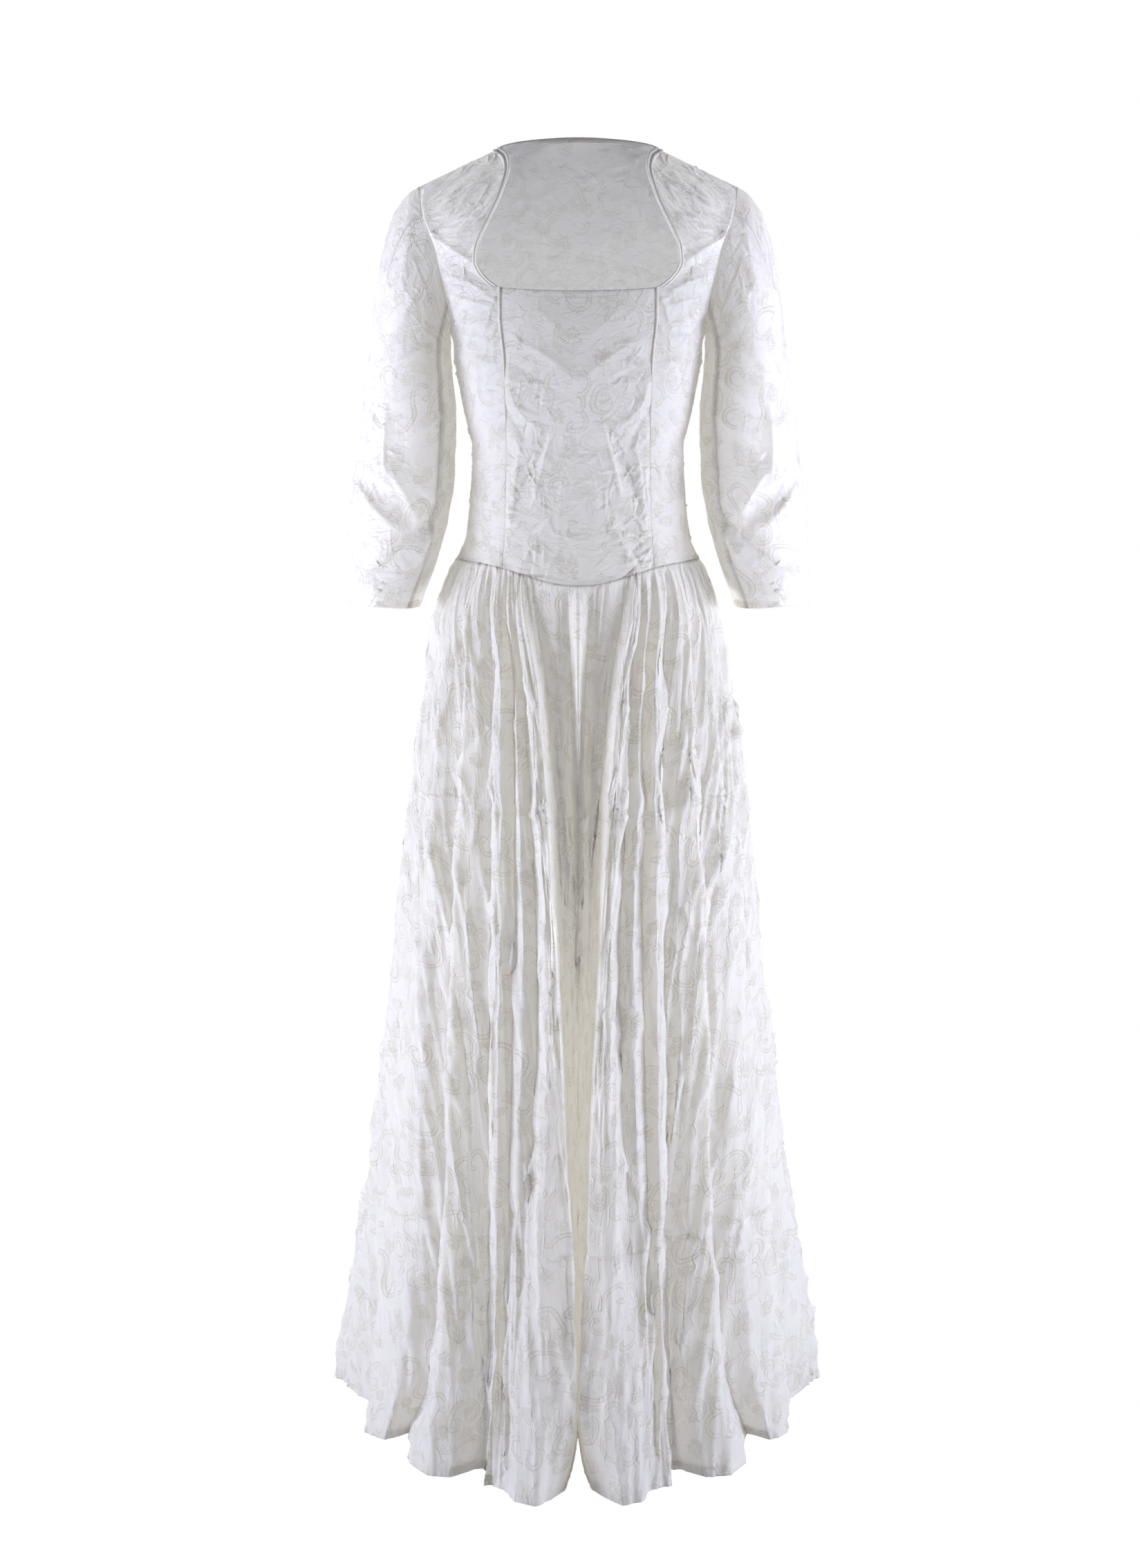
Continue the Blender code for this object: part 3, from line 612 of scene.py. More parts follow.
def link(piece: bpy.types.Object) -> bpy.types.Object:
    """Puts a piece in the scene."""
    bpy.context.scene.collection.objects.link(piece)
    return piece


def flat_map(points: np.ndarray, centre_column: int, upward: bool) -> np.ndarray:
    """Lays a grid flat by its own lengths.

    Args:
        points: the grid.
        centre_column: the column that lies at 0.
        upward: whether the rows run up the cloth.

    Returns:
        Each point's place across and up the cloth.
    """
    across = np.linalg.norm(np.diff(points, axis=1), axis=-1)
    u = np.concatenate([np.zeros((len(points), 1)), np.cumsum(across, axis=1)], axis=1)
    u = u - u[:, centre_column : centre_column + 1]
    along = np.linalg.norm(np.diff(points[:, centre_column], axis=0), axis=-1)
    v = np.concatenate([[0], np.cumsum(along)]) * (1 if upward else -1)
    return np.stack([u, np.broadcast_to(v[:, None], u.shape)], axis=-1)


@dataclass(frozen=True)
class BodyForm:
    """The body of the dress.

    A turn is an angle from the centre in degrees. A level is a height up to the chest, and then runs on to 0
    as the cloth goes over to the shoulder line.
    """

    chest_leave: tuple[float, float] = (32.0, 145.0)
    shoulder_arrive: tuple[float, float] = (115.0, 5.0)
    back_leave: tuple[float, float] = (2.0, 135.0)
    neck_arrive_z: float = 95.0
    shoulder_arrive_drop: float = 100.0
    shoulder_from: float = 10.0
    arch_y_power: float = 0.6
    arch_z_power: float = 0.75
    blade_power: float = 1.4
    blade_pull: float = 8.0
    side_turn: float = 89.9
    neck_half: float = 86.6
    neck_side_z: float = 23.5
    shoulder_slope: float = 0.467
    ridge_y: float = 4.0
    neck_back_y: float = 70.0
    neck_back_rise: float = 15.4
    shoulder_blade_y: float = 90.0
    front_dip: float = 22.0
    back_dip: float = 6.0
    dip_spread: float = 30.0
    dip_fade: float = 60.0

    def ridge_z(self, x: np.ndarray) -> np.ndarray:
        """The height of the shoulder line at a half width."""
        return self.neck_side_z - self.shoulder_slope * (x - self.neck_half)

    def waist_dip(self, turn: np.ndarray, depth: float) -> np.ndarray:
        """How far the waist seam lies below its side level."""
        return depth * np.exp(-((turn / self.dip_spread) ** 2))

    def front(self, turn: Number, level: Number) -> np.ndarray:
        """Points on the front of the body.

        Args:
            turn: angles from the centre.
            level: heights, and levels above the chest.

        Returns:
            The points.
        """
        angle = np.radians(turn)
        side, ahead = np.sin(angle), np.cos(angle)
        height = np.minimum(level, CHEST_Z)
        low_y = -read(RINGS, "front", height) * ahead
        t = np.clip((level - CHEST_Z) / (TOP_LEVEL - CHEST_Z), 0, 1)
        end_x = read(RINGS, "half_width", np.array(TOP_LEVEL)) * side
        start_y = -read(RINGS, "front", np.array(CHEST_Z)) * ahead
        leave_y, leave_z = self.chest_leave
        arrive_y, arrive_z = self.shoulder_arrive
        high_y = hermite(start_y, leave_y * ahead, self.ridge_y, arrive_y * ahead, t)
        high_z = hermite(CHEST_Z, leave_z, self.ridge_z(np.abs(end_x)), arrive_z, t)
        above = t > 0
        half = read(RINGS, "half_width", level)
        return stacked(half * side, np.where(above, high_y, low_y), np.where(above, high_z, height))

    def back(self, turn: Number, level: Number) -> np.ndarray:
        """Points on the back of the body.

        Args:
            turn: angles from the centre.
            level: heights, and levels above the shoulder blades.

        Returns:
            The points.
        """
        angle = np.radians(turn)
        side, behind = np.sin(angle), np.cos(angle)
        height = np.minimum(level, UPPER_BACK_Z)
        low_y = read(RINGS, "back", height) * behind
        t = np.clip((level - UPPER_BACK_Z) / (TOP_LEVEL - UPPER_BACK_Z), 0, 1)
        half = np.abs(read(RINGS, "half_width", np.array(TOP_LEVEL)) * side)
        inside = np.clip(1 - (half / self.neck_half) ** 2, 0, 1)
        end_y = np.maximum(self.ridge_y, self.neck_back_y * inside**self.arch_y_power)
        arch_z = self.neck_side_z + self.neck_back_rise * inside**self.arch_z_power
        end_z = np.where(half < self.neck_half, arch_z, self.ridge_z(half))
        shoulder = blend(self.shoulder_from, self.neck_half, half)
        start_y = read(RINGS, "back", np.array(UPPER_BACK_Z)) * behind
        middle_y = self.shoulder_blade_y * behind**self.blade_power
        leave_y, leave_z = self.back_leave
        arrive_y = leave_y * behind - self.blade_pull * (middle_y - (start_y + end_y) / 2)
        arrive_z = self.neck_arrive_z - self.shoulder_arrive_drop * shoulder
        high_y = hermite(start_y, leave_y * behind, end_y, arrive_y, t)
        high_z = hermite(UPPER_BACK_Z, leave_z, end_z, arrive_z, t)
        above = t > 0
        width = read(RINGS, "half_width", level)
        return stacked(width * side, np.where(above, high_y, low_y), np.where(above, high_z, height))

    def turn_for(self, x: np.ndarray, level: np.ndarray) -> np.ndarray:
        """The turn at which the ring of a level reaches a half width."""
        return np.degrees(np.arcsin(np.clip(x / read(RINGS, "half_width", level), -1, 1)))

    def edge_turn(
        self, surface: Callable, edge: Sequence[Edge], level: np.ndarray, start: float = 60.0,
        steps: int = 12,
    ) -> np.ndarray:
        """The turn at which a surface of the body meets a panel's edge.

        Args:
            surface: front or back.
            edge: the panel's edge.
            level: the levels to find it at.
            start: a first guess.
            steps: how many times the guess is made better.

        Returns:
            The turn at each level.
        """
        turn = np.full(np.shape(level), start)
        for _ in range(steps):
            z = surface(turn, level)[..., 2]
            turn = 0.5 * turn + 0.5 * self.turn_for(read(edge, "x", z), level)
        return turn

    def dipped(self, level: np.ndarray, turn: np.ndarray, depth: float) -> np.ndarray:
        """Lowers the levels near the waist to the seam's dip."""
        fade = np.clip((WAIST_Z + self.dip_fade - level) / self.dip_fade, 0, 1)
        return level - self.waist_dip(turn, depth) * fade

    def armhole_turn(self, surface: Callable, edge: Sequence[Edge], level: np.ndarray) -> np.ndarray:
        """The outer edge of a body panel: the side seam, then the armhole."""
        armhole = np.minimum(self.side_turn, self.edge_turn(surface, edge, level))
        return np.where(level <= UNDERARM_Z, self.side_turn, armhole)

    def inner_turn(self, level: np.ndarray, inset: Number) -> np.ndarray:
        """The inner edge of a side front.

        Args:
            level: the levels to find it at.
            inset: how far it is moved out.

        Returns:
            The turn of the princess seam, and above the chest of the neckline.
        """
        half = read(RINGS, "half_width", level)
        neckline = half * np.sin(np.radians(self.edge_turn(self.front, NECK_EDGE, level, 30.0)))
        edge = np.where(level <= CHEST_Z, read(PRINCESS_SEAM, "x", level), neckline)
        return self.turn_for(edge + inset, level)


@dataclass(frozen=True)
class SleeveForm:
    """A set-in three-quarter sleeve. A turn is 0 in front, 90 outside and 180 behind."""

    body: BodyForm
    cuff_tilt: float = 4.0
    tilt_from: float = 400.0
    pull: tuple[float, float] = (20.0, 115.0)
    arrival: tuple[float, float] = (25.0, 130.0)
    arrival_step: float = 5.0
    cap_outward: float = 0.7
    cap_forward: float = 0.35
    cap_level: float = 0.65
    row_power: float = 1.25
    stand_off: float = 0.5
    underarm_stand_off: float = 0.6
    underarm_from: tuple[float, float] = (40.0, 130.0)
    armhole_levels: int = 300
    armhole_points: int = 181
    fold_end: float = 0.1

    def armhole(self, turns: np.ndarray) -> np.ndarray:
        """The sleeve's first ring, along the armhole.

        Args:
            turns: the turn of each column.

        Returns:
            Its points.
        """
        fine = np.linspace(UNDERARM_Z, TOP_LEVEL, self.armhole_levels)
        body = self.body
        front = body.front(body.armhole_turn(body.front, FRONT_ARMHOLE, fine), fine)
        back = body.back(body.armhole_turn(body.back, BACK_ARMHOLE, fine), fine)
        halves = (evened(front, self.armhole_points), evened(back[::-1], self.armhole_points)[1:])
        loop = np.concatenate(halves)
        loop[:, 0] += self.stand_off + self.underarm_stand_off * blend(*self.underarm_from, -loop[:, 2])
        at = np.linspace(-90, 270, len(loop))
        place = (turns + 90) % 360 - 90
        return np.stack([np.interp(place, at, loop[:, axis]) for axis in range(3)], axis=-1)

    def ring(self, turns: np.ndarray, z: np.ndarray) -> np.ndarray:
        """The sleeve below its cap.

        Args:
            turns: the turn of each column.
            z: the height of each row.

        Returns:
            Its points.
        """
        angle = np.radians(turns)
        x_in, x_out = read(SLEEVE_RINGS, "x_in", z), read(SLEEVE_RINGS, "x_out", z)
        x = (x_in + x_out) / 2 + (x_out - x_in) / 2 * np.sin(angle)
        y = -read(SLEEVE_RINGS, "forward", z) - read(SLEEVE_RINGS, "half_depth", z) * np.cos(angle)
        tilt = self.cuff_tilt * np.sin(angle) * blend(self.tilt_from, -SLEEVE_RINGS[0].z, -z)
        return stacked(x, y, z + tilt)

    def stretch(
        self, turn_from: float, turn_to: float, columns: int, cap_rows: int, arm_rows: int,
    ) -> np.ndarray:
        """The sleeve between two seams, from the armhole to the cuff.

        Args:
            turn_from: the turn of the first seam.
            turn_to: the turn of the other seam.
            columns: how many columns of cloth lie between them.
            cap_rows: how many rows the cap has.
            arm_rows: how many rows the rest has.

        Returns:
            The points.
        """
        turns = np.linspace(turn_from, turn_to, columns + 1)[None, :]
        height = np.clip((np.sin(np.radians(turns)) + 1) / 2, 0, 1)
        start = self.armhole(turns)
        first_z = float(SLEEVE_RINGS[-1].z)
        end = self.ring(turns, np.full(turns.shape, first_z))
        below = self.ring(turns, np.full(turns.shape, first_z - self.arrival_step))
        ahead = -self.cap_forward * np.cos(np.radians(turns))
        leave = stacked(height**self.cap_outward, ahead, self.cap_level * height - 1)
        leave = leave * (self.pull[0] + self.pull[1] * height)[..., None]
        arrive = (below - end) / self.arrival_step * (self.arrival[0] + self.arrival[1] * height)[..., None]
        t = np.linspace(0, 1, cap_rows + 1)[:, None, None] ** self.row_power
        cap = hermite(start, leave, end, arrive, t)
        z = np.linspace(first_z, SLEEVE_RINGS[0].z, arm_rows + 1)[1:, None]
        return np.concatenate([cap, self.ring(turns, z)])

    def folds(self, turns: np.ndarray, z: np.ndarray) -> np.ndarray:
        """How far the drag folds lift the sleeve.

        Args:
            turns: the turn of each column.
            z: the height of each point.

        Returns:
            The lift of each point.
        """
        total = np.zeros(np.broadcast(turns, z).shape)
        for fold in SLEEVE_FOLDS:
            run = (fold.to_turn - fold.turn, fold.to_z - fold.z)
            off_turn, off_z = turns - fold.turn, z - fold.z
            t = np.clip((off_turn * run[0] + off_z * run[1]) / (run[0] ** 2 + run[1] ** 2), 0, 1)
            away = np.hypot(off_turn - t * run[0], off_z - t * run[1]) / fold.width
            fade = np.sin(np.pi * (self.fold_end + (1 - 2 * self.fold_end) * t))
            total += fold.height * np.exp(-(away**2)) * fade
        return total


def evened(points: np.ndarray, count: int) -> np.ndarray:
    """Points at even steps along a polyline."""
    along = np.concatenate([[0], np.cumsum(np.linalg.norm(np.diff(points, axis=0), axis=1))])
    return np.stack([np.interp(np.linspace(0, along[-1], count), along, c) for c in points.T], axis=-1)


@dataclass(frozen=True)
class Gathers:
    """Puckers below the waist seam, in millimetres along the cloth and down it."""

    depth: float = 2.8
    spacing: float = 7.5
    rise: float = 6.0
    fade: float = 62.0
    sharpness: float = 0.8

    def lift(self, across: np.ndarray, down: np.ndarray) -> np.ndarray:
        """How far the puckers lift the cloth. Slow waves make them uneven in place, size and length.

        Args:
            across: places along the waist seam.
            down: distances below it.

        Returns:
            The lift of each point.
        """
        wander = 5.0 * np.sin(across / 37.0) + 3.0 * np.sin(across / 13.0 + 1.0)
        phase = 2 * np.pi * (across + wander + 0.04 * down * np.sin(across / 19.0)) / self.spacing
        size = 0.6 + 0.4 * np.sin(across / 23.0 + 2.0 * np.sin(across / 51.0))
        reach = self.fade * (0.7 + 0.5 * np.sin(across / 17.0 + 0.7))
        envelope = (1 - np.exp(-down / self.rise)) * np.exp(-down / reach)
        ridge = 1 - 2 * np.abs(np.sin(phase / 2)) ** self.sharpness
        return self.depth * size * envelope * ridge


@dataclass(frozen=True)
class SkirtForm:
    """The long gathered skirt, from its waist seam to its hem."""

    body: BodyForm
    waist_gap: float = 0.1
    flush: float = 12.0
    crispness: float = 0.9
    back_fold_count: int = 12
    back_ridge_outs: tuple[float, ...] = (1.5, 8, 10, 12, 14)
    back_valley_outs: tuple[float, ...] = (-1.5, -11, -22, -38, -50)
    side_outs: tuple[float, ...] = (1.2, 5, 4, 4, 4)
    back_place_sway: float = 0.25
    back_turn_sway: float = 0.9
    back_size: tuple[float, float] = (0.75, 0.4)
    place_wave: float = 2.1
    turn_wave: tuple[float, float] = (2.3, 1.1)
    size_wave: tuple[float, float] = (1.9, 0.6)
    row_power: float = 1.12
    hem_from: float = 0.982
    press_levels: tuple[float, ...] = (-694.0, -1167.0)
    press_wave: tuple[float, float] = (7.0, 45.0)
    press_shift: tuple[float, float] = (3.0, 9.0)
    press_reach: float = 16.0
    press_phase: float = 0.7

    def front_lines(self) -> list[FoldLine]:
        """Fold lines from side seam to side seam, alike on both halves."""
        left = [FoldLine(tuple(-t for t in line.turns), line.outs) for line in FRONT_FOLDS[:0:-1]]
        return [*left, *FRONT_FOLDS]

    def back_lines(self) -> list[FoldLine]:
        """Fold lines of the back, ridges and valleys by turns, as uneven as those of the front.

        Returns:
            The lines from side seam to side seam.
        """
        count = 2 * self.back_fold_count
        lines = [FoldLine((-90.0,) * len(SKIRT_LEVELS), self.side_outs)]
        for number in range(1, count):
            outs = self.back_valley_outs if number % 2 else self.back_ridge_outs
            place = number + self.back_place_sway * np.sin(self.place_wave * number)
            place = -90 + 180 * place / count
            phases = [self.turn_wave[0] * number + self.turn_wave[1] * i for i in range(len(SKIRT_LEVELS))]
            sway = [self.back_turn_sway * np.sin(phase) for phase in phases]
            size = self.size_wave[0] * number + self.size_wave[1]
            size = self.back_size[0] + self.back_size[1] * np.sin(size)
            lines.append(FoldLine(tuple(place + s for s in sway), tuple(size * o for o in outs)))
        lines.append(FoldLine((90.0,) * len(SKIRT_LEVELS), self.side_outs))
        return lines

    def rows(self, count: int, hem_rows: int) -> np.ndarray:
        """Shares of the length, closer at the waist and near the hem."""
        start = np.linspace(0, 1, count) ** self.row_power * self.hem_from
        return np.concatenate([start, np.linspace(self.hem_from, 1, hem_rows + 1)[1:]])

    def surface(self, lines: list[FoldLine], per_line: int, rows: np.ndarray, front: bool) -> np.ndarray:
        """Points of a panel through its fold lines.

        Args:
            lines: the fold lines from side seam to side seam.
            per_line: how many columns lie between two of them.
            rows: shares of the length, from the waist to the hem.
            front: whether the panel is the front.

        Returns:
            The points.
        """
        sign = -1.0 if front else 1.0
        dip = self.body.front_dip if front else self.body.back_dip
        turns = smooth(SKIRT_LEVELS, [line.turns for line in lines], rows)
        outs = smooth(SKIRT_LEVELS, [line.outs for line in lines], rows)
        index = np.arange(len(lines))
        at = np.linspace(0, len(lines) - 1, (len(lines) - 1) * per_line + 1)
        turn = self.mixed(index, turns.T, at)
        out = self.mixed(index, outs.T, at) * blend(0.0, self.flush, rows * (WAIST_Z - HEM_Z))[:, None]
        top = WAIST_Z - self.body.waist_dip(turn, dip) - self.waist_gap
        z = top + (HEM_Z - top) * rows[:, None]
        angle = np.radians(turn)
        half = read(RINGS, "half_width", z)
        depth = read(RINGS, "front" if front else "back", z)
        x, y = half * np.sin(angle), sign * depth * np.cos(angle)
        way = np.stack([np.sin(angle) / half, sign * np.cos(angle) / depth])
        way /= np.linalg.norm(way, axis=0)
        return stacked(x + out * way[0], y + out * way[1], z)

    def mixed(self, index: np.ndarray, values: np.ndarray, at: np.ndarray) -> np.ndarray:
        """Between fold lines, partly flat facets and partly round folds."""
        return self.crispness * straight(values, at) + (1 - self.crispness) * smooth(index, values, at)

    def pressed(self, points: np.ndarray) -> np.ndarray:
        """Kinks the folds sideways where the cloth was once pressed flat in a parcel.

        Args:
            points: the panel's points.

        Returns:
            The moved points.
        """
        x, z = points[..., 0], points[..., 2]
        shift = np.zeros(x.shape)
        for level in self.press_levels:
            away = z - level - self.press_wave[0] * np.sin(x / self.press_wave[1])
            kink = self.press_shift[0] * np.sin(x / self.press_shift[1] + self.press_phase)
            shift += kink * np.exp(-np.abs(away) / self.press_reach)
        moved = points.copy()
        moved[..., 0] += shift * np.sign(x)
        return moved


@dataclass(frozen=True)
class Arc:
    """A curved stroke of the print: centre, radius, and the middle and half of its sweep in radians."""

    x: float
    y: float
    radius: float
    middle: float
    half_sweep: float


@dataclass(frozen=True)
class Stroke:
    """A part of a scroll: its radius, how far it turns to the left, and a cusp before it, in degrees."""

    radius: float
    turn: float
    cusp: float = 0.0


@dataclass(frozen=True)
class Scroll:
    """A line of the print that runs on from stroke to stroke."""

    x: float
    y: float
    heading: float
    strokes: tuple[Stroke, ...]

    def arcs(self) -> list[Arc]:
        """Lays the strokes end to end.

        Returns:
            Their arcs.
        """
        x, y, heading = self.x, self.y, math.radians(self.heading)
        arcs = []
        for stroke in self.strokes:
            turn = math.radians(stroke.turn)
            heading += math.radians(stroke.cusp)
            reach = math.copysign(stroke.radius, turn)
            centre_x, centre_y = x - reach * math.sin(heading), y + reach * math.cos(heading)
            start = math.atan2(y - centre_y, x - centre_x)
            arcs.append(Arc(centre_x, centre_y, stroke.radius, start + turn / 2, abs(turn) / 2))
            x = centre_x + stroke.radius * math.cos(start + turn)
            y = centre_y + stroke.radius * math.sin(start + turn)
            heading += turn
        return arcs


@dataclass(frozen=True)
class Cluster:
    """An oval bunch of tiny flowers in the print."""

    x: float
    y: float
    half_width: float
    half_height: float


def add(
    tree: Tree, kind: str, links: dict | None = None, output: int | str = 0, **settings: object,
) -> Socket | bpy.types.Node:
    """Adds a node to a tree.

    Args:
        tree: the node tree.
        kind: the node's type.
        links: input name or number to a socket to link or a value to set.
        output: which output to return.
        **settings: properties of the node.

    Returns:
        The node's output socket, or the node itself where it has none.
    """
    node = tree.nodes.new(kind)
    for name, value in settings.items():
        setattr(node, name, value)
    for name, value in (links or {}).items():
        if isinstance(value, Socket):
            tree.links.new(value, node.inputs[name])
        else:
            node.inputs[name].default_value = value
    return node.outputs[output] if len(node.outputs) else node


@dataclass(frozen=True)
class ScrollPrint:
    """A traditional scroll and paisley print: pearled curls and rings, and bunches of pearls.

    Sizes are in millimetres on the flat cloth. Every other column of the repeat drops by half, and the repeat
    is turned over from one to the next.
    """

    repeat_width: float = 98.0
    repeat_height: float = 126.0
    band_half: float = 2.8
    border: float = 0.5
    pearl: float = 1.25
    pearl_step: float = 3.1
    fill: float = 0.62
    flower: float = 3.0
    flower_scatter: float = 0.8
    flower_rim: tuple[float, float] = (0.39, 0.11)
    scrolls: tuple[Scroll, ...] = (
        Scroll(
            -19, 36, 300,
            (Stroke(4.5, 160), Stroke(10.5, 150), Stroke(20, 48), Stroke(19, -66), Stroke(10.5, -150),
             Stroke(4.5, -150)),
        ),
        Scroll(
            43, 58, 172,
            (Stroke(11.5, 196), Stroke(8, 196, -196), Stroke(11.5, 196, -196), Stroke(4.5, 150)),
        ),
        Scroll(8, -25, 300, (Stroke(13.5, 230), Stroke(24, 60), Stroke(6, -190))),
        Scroll(14, 17, 10, (Stroke(13.5, 205), Stroke(34, 48), Stroke(5.5, 200), Stroke(3, 120))),
    )
    clusters: tuple[Cluster, ...] = (
        Cluster(-38, 53, 9, 9),
        Cluster(11, -36, 7, 7),
        Cluster(-42, -34, 7, 15),
        Cluster(44, -22, 8, 14),
        Cluster(-13, -52, 10, 10),
        Cluster(13, 31, 8, 8),
        Cluster(10, 5, 12, 6),
        Cluster(-14, 8, 6, 9),
        Cluster(24, -58, 12, 8),
    )

    def mask(self, tree: Tree, place: Socket) -> Socket:
        """How strongly the print shows at each place of the flat cloth.

        Args:
            tree: the material's tree.
            place: the place on the flat cloth, in millimetres.

        Returns:
            A socket from 0, plain cloth, to 1, full print.
        """
        spot = self.repeat(tree, place)
        chains, bunches = self.chains(tree, spot), self.flowers(tree, place)
        return add(tree, "ShaderNodeMath", {0: chains, 1: bunches}, operation="MAXIMUM")

    def repeat(self, tree: Tree, place: Socket) -> Socket:
        """The place inside the repeat, from its middle.

        Args:
            tree: the material's tree.
            place: the place on the flat cloth.

        Returns:
            The place, turned over where the repeat is.
        """
        parts = add(tree, "ShaderNodeSeparateXYZ", {0: place}).node
        across, up = parts.outputs[0], parts.outputs[1]
        column = add(tree, "ShaderNodeMath", {0: across, 1: self.repeat_width}, operation="DIVIDE")
        column = add(tree, "ShaderNodeMath", {0: column}, operation="FLOOR")
        odd = add(tree, "ShaderNodeMath", {0: column, 1: 2.0}, operation="FLOORED_MODULO")
        up = add(tree, "ShaderNodeMath", {0: odd, 1: self.repeat_height / 2, 2: up}, operation="MULTIPLY_ADD")
        row = add(tree, "ShaderNodeMath", {0: up, 1: self.repeat_height}, operation="DIVIDE")
        row = add(tree, "ShaderNodeMath", {0: row}, operation="FLOOR")
        row = add(tree, "ShaderNodeMath", {0: row, 1: odd}, operation="ADD")
        row = add(tree, "ShaderNodeMath", {0: row, 1: 2.0}, operation="FLOORED_MODULO")
        x = self.middle(tree, across, self.repeat_width, row)
        y = self.middle(tree, up, self.repeat_height, odd)
        return add(tree, "ShaderNodeCombineXYZ", {0: x, 1: y})

    def middle(self, tree: Tree, value: Socket, size: float, turned: Socket) -> Socket:
        """Distance from the middle of the repeat along one way.

        Args:
            tree: the material's tree.
            value: the place along that way.
            size: the repeat's size.
            turned: 1 where the repeat is turned over, and else 0.

        Returns:
            The distance.
        """
        inside = add(tree, "ShaderNodeMath", {0: value, 1: size}, operation="FLOORED_MODULO")
        inside = add(tree, "ShaderNodeMath", {0: inside, 1: size / 2}, operation="SUBTRACT")
        way = add(tree, "ShaderNodeMath", {0: turned, 1: -2.0, 2: 1.0}, operation="MULTIPLY_ADD")
        return add(tree, "ShaderNodeMath", {0: inside, 1: way}, operation="MULTIPLY")

    def chains(self, tree: Tree, spot: Socket) -> Socket:
        """A dark band along the nearest stroke, with a darker border and a row of light pearls.

        Args:
            tree: the material's tree.
            spot: the place inside the repeat.

        Returns:
            The strength of the bands.
        """
        reach: Socket | float = 99.0
        step: Socket | float = 0.0
        for arc in [arc for scroll in self.scrolls for arc in scroll.arcs()]:
            gap, links = self.along_arc(tree, spot, arc)
            nearer = add(tree, "ShaderNodeMath", {0: gap, 1: reach}, operation="LESS_THAN")
            step = add(tree, "ShaderNodeMix", {"Factor": nearer, 2: step, 3: links}, 0)
            reach = add(tree, "ShaderNodeMath", {0: reach, 1: gap}, operation="MINIMUM")
        step = add(tree, "ShaderNodeMath", {0: step, 1: 0.5, 2: -0.5}, operation="WRAP")
        step = add(tree, "ShaderNodeMath", {0: step, 1: self.pearl_step}, operation="MULTIPLY")
        corner = add(tree, "ShaderNodeCombineXYZ", {0: step, 1: reach})
        away = add(tree, "ShaderNodeVectorMath", {0: corner}, "Value", operation="LENGTH")
        around = add(tree, "ShaderNodeMath", {0: away, 1: self.pearl}, operation="GREATER_THAN")
        middle = self.band_half - self.border / 2
        border = add(tree, "ShaderNodeMath", {0: reach, 1: middle, 2: self.border / 2}, operation="COMPARE")
        band = add(tree, "ShaderNodeMath", {0: reach, 1: self.band_half}, operation="LESS_THAN")
        band = add(tree, "ShaderNodeMath", {0: band, 1: around}, operation="MULTIPLY")
        fill = add(tree, "ShaderNodeMath", {0: band, 1: self.fill}, operation="MULTIPLY")
        return add(tree, "ShaderNodeMath", {0: border, 1: fill}, operation="MAXIMUM")

    def along_arc(self, tree: Tree, spot: Socket, arc: Arc) -> tuple[Socket, Socket]:
        """Places a spot beside an arc.

        Args:
            tree: the material's tree.
            spot: the place inside the repeat.
            arc: the arc.

        Returns:
            The distance from its line, far where its sweep has ended, and the place along it in pearls.
        """
        turn = -arc.middle
        shift = (
            -arc.x * math.cos(turn) + arc.y * math.sin(turn),
            -arc.x * math.sin(turn) - arc.y * math.cos(turn),
            0.0,
        )
        away = add(tree, "ShaderNodeMapping", {"Vector": spot, "Location": shift, "Rotation": (0, 0, turn)})
        parts = add(tree, "ShaderNodeSeparateXYZ", {0: away}).node
        angle = add(tree, "ShaderNodeMath", {0: parts.outputs[1], 1: parts.outputs[0]}, operation="ARCTAN2")
        length = add(tree, "ShaderNodeVectorMath", {0: away}, "Value", operation="LENGTH")
        off = add(tree, "ShaderNodeMath", {0: length, 1: arc.radius}, operation="SUBTRACT")
        off = add(tree, "ShaderNodeMath", {0: off}, operation="ABSOLUTE")
        past = add(tree, "ShaderNodeMath", {0: angle, 1: 0.0, 2: arc.half_sweep}, operation="COMPARE")
        past = add(tree, "ShaderNodeMath", {0: past, 1: -90.0, 2: 90.0}, operation="MULTIPLY_ADD")
        gap = add(tree, "ShaderNodeMath", {0: off, 1: past}, operation="ADD")
        links = add(tree, "ShaderNodeMath", {0: angle, 1: arc.radius / self.pearl_step}, operation="MULTIPLY")
        return gap, links

    def flowers(self, tree: Tree, place: Socket) -> Socket:
        """Bunches of pearls with dark rims, whole ones only.

        Args:
            tree: the material's tree.
            place: the place on the flat cloth.

        Returns:
            The strength of the bunches.
        """
        cells = add(
            tree, "ShaderNodeTexVoronoi",
            {"Vector": place, "Scale": 1 / self.flower, "Randomness": self.flower_scatter},
            voronoi_dimensions="2D", feature="F1",
        ).node
        heart_place = self.repeat(tree, cells.outputs["Position"])
        inside: Socket | float = 0.0
        for bunch in self.clusters:
            heart = (bunch.x, bunch.y, 0)
            away = add(tree, "ShaderNodeVectorMath", {0: heart_place, 1: heart}, operation="SUBTRACT")
            size = (1 / bunch.half_width, 1 / bunch.half_height, 0)
            scaled = add(tree, "ShaderNodeVectorMath", {0: away, 1: size}, operation="MULTIPLY")
            length = add(tree, "ShaderNodeVectorMath", {0: scaled}, "Value", operation="LENGTH")
            within = add(tree, "ShaderNodeMath", {0: length, 1: 1.0}, operation="LESS_THAN")
            inside = add(tree, "ShaderNodeMath", {0: inside, 1: within}, operation="MAXIMUM")
        distance = cells.outputs["Distance"]
        middle, half = self.flower_rim
        ring = add(tree, "ShaderNodeMath", {0: distance, 1: middle, 2: half}, operation="COMPARE")
        return add(tree, "ShaderNodeMath", {0: ring, 1: inside}, operation="MULTIPLY")


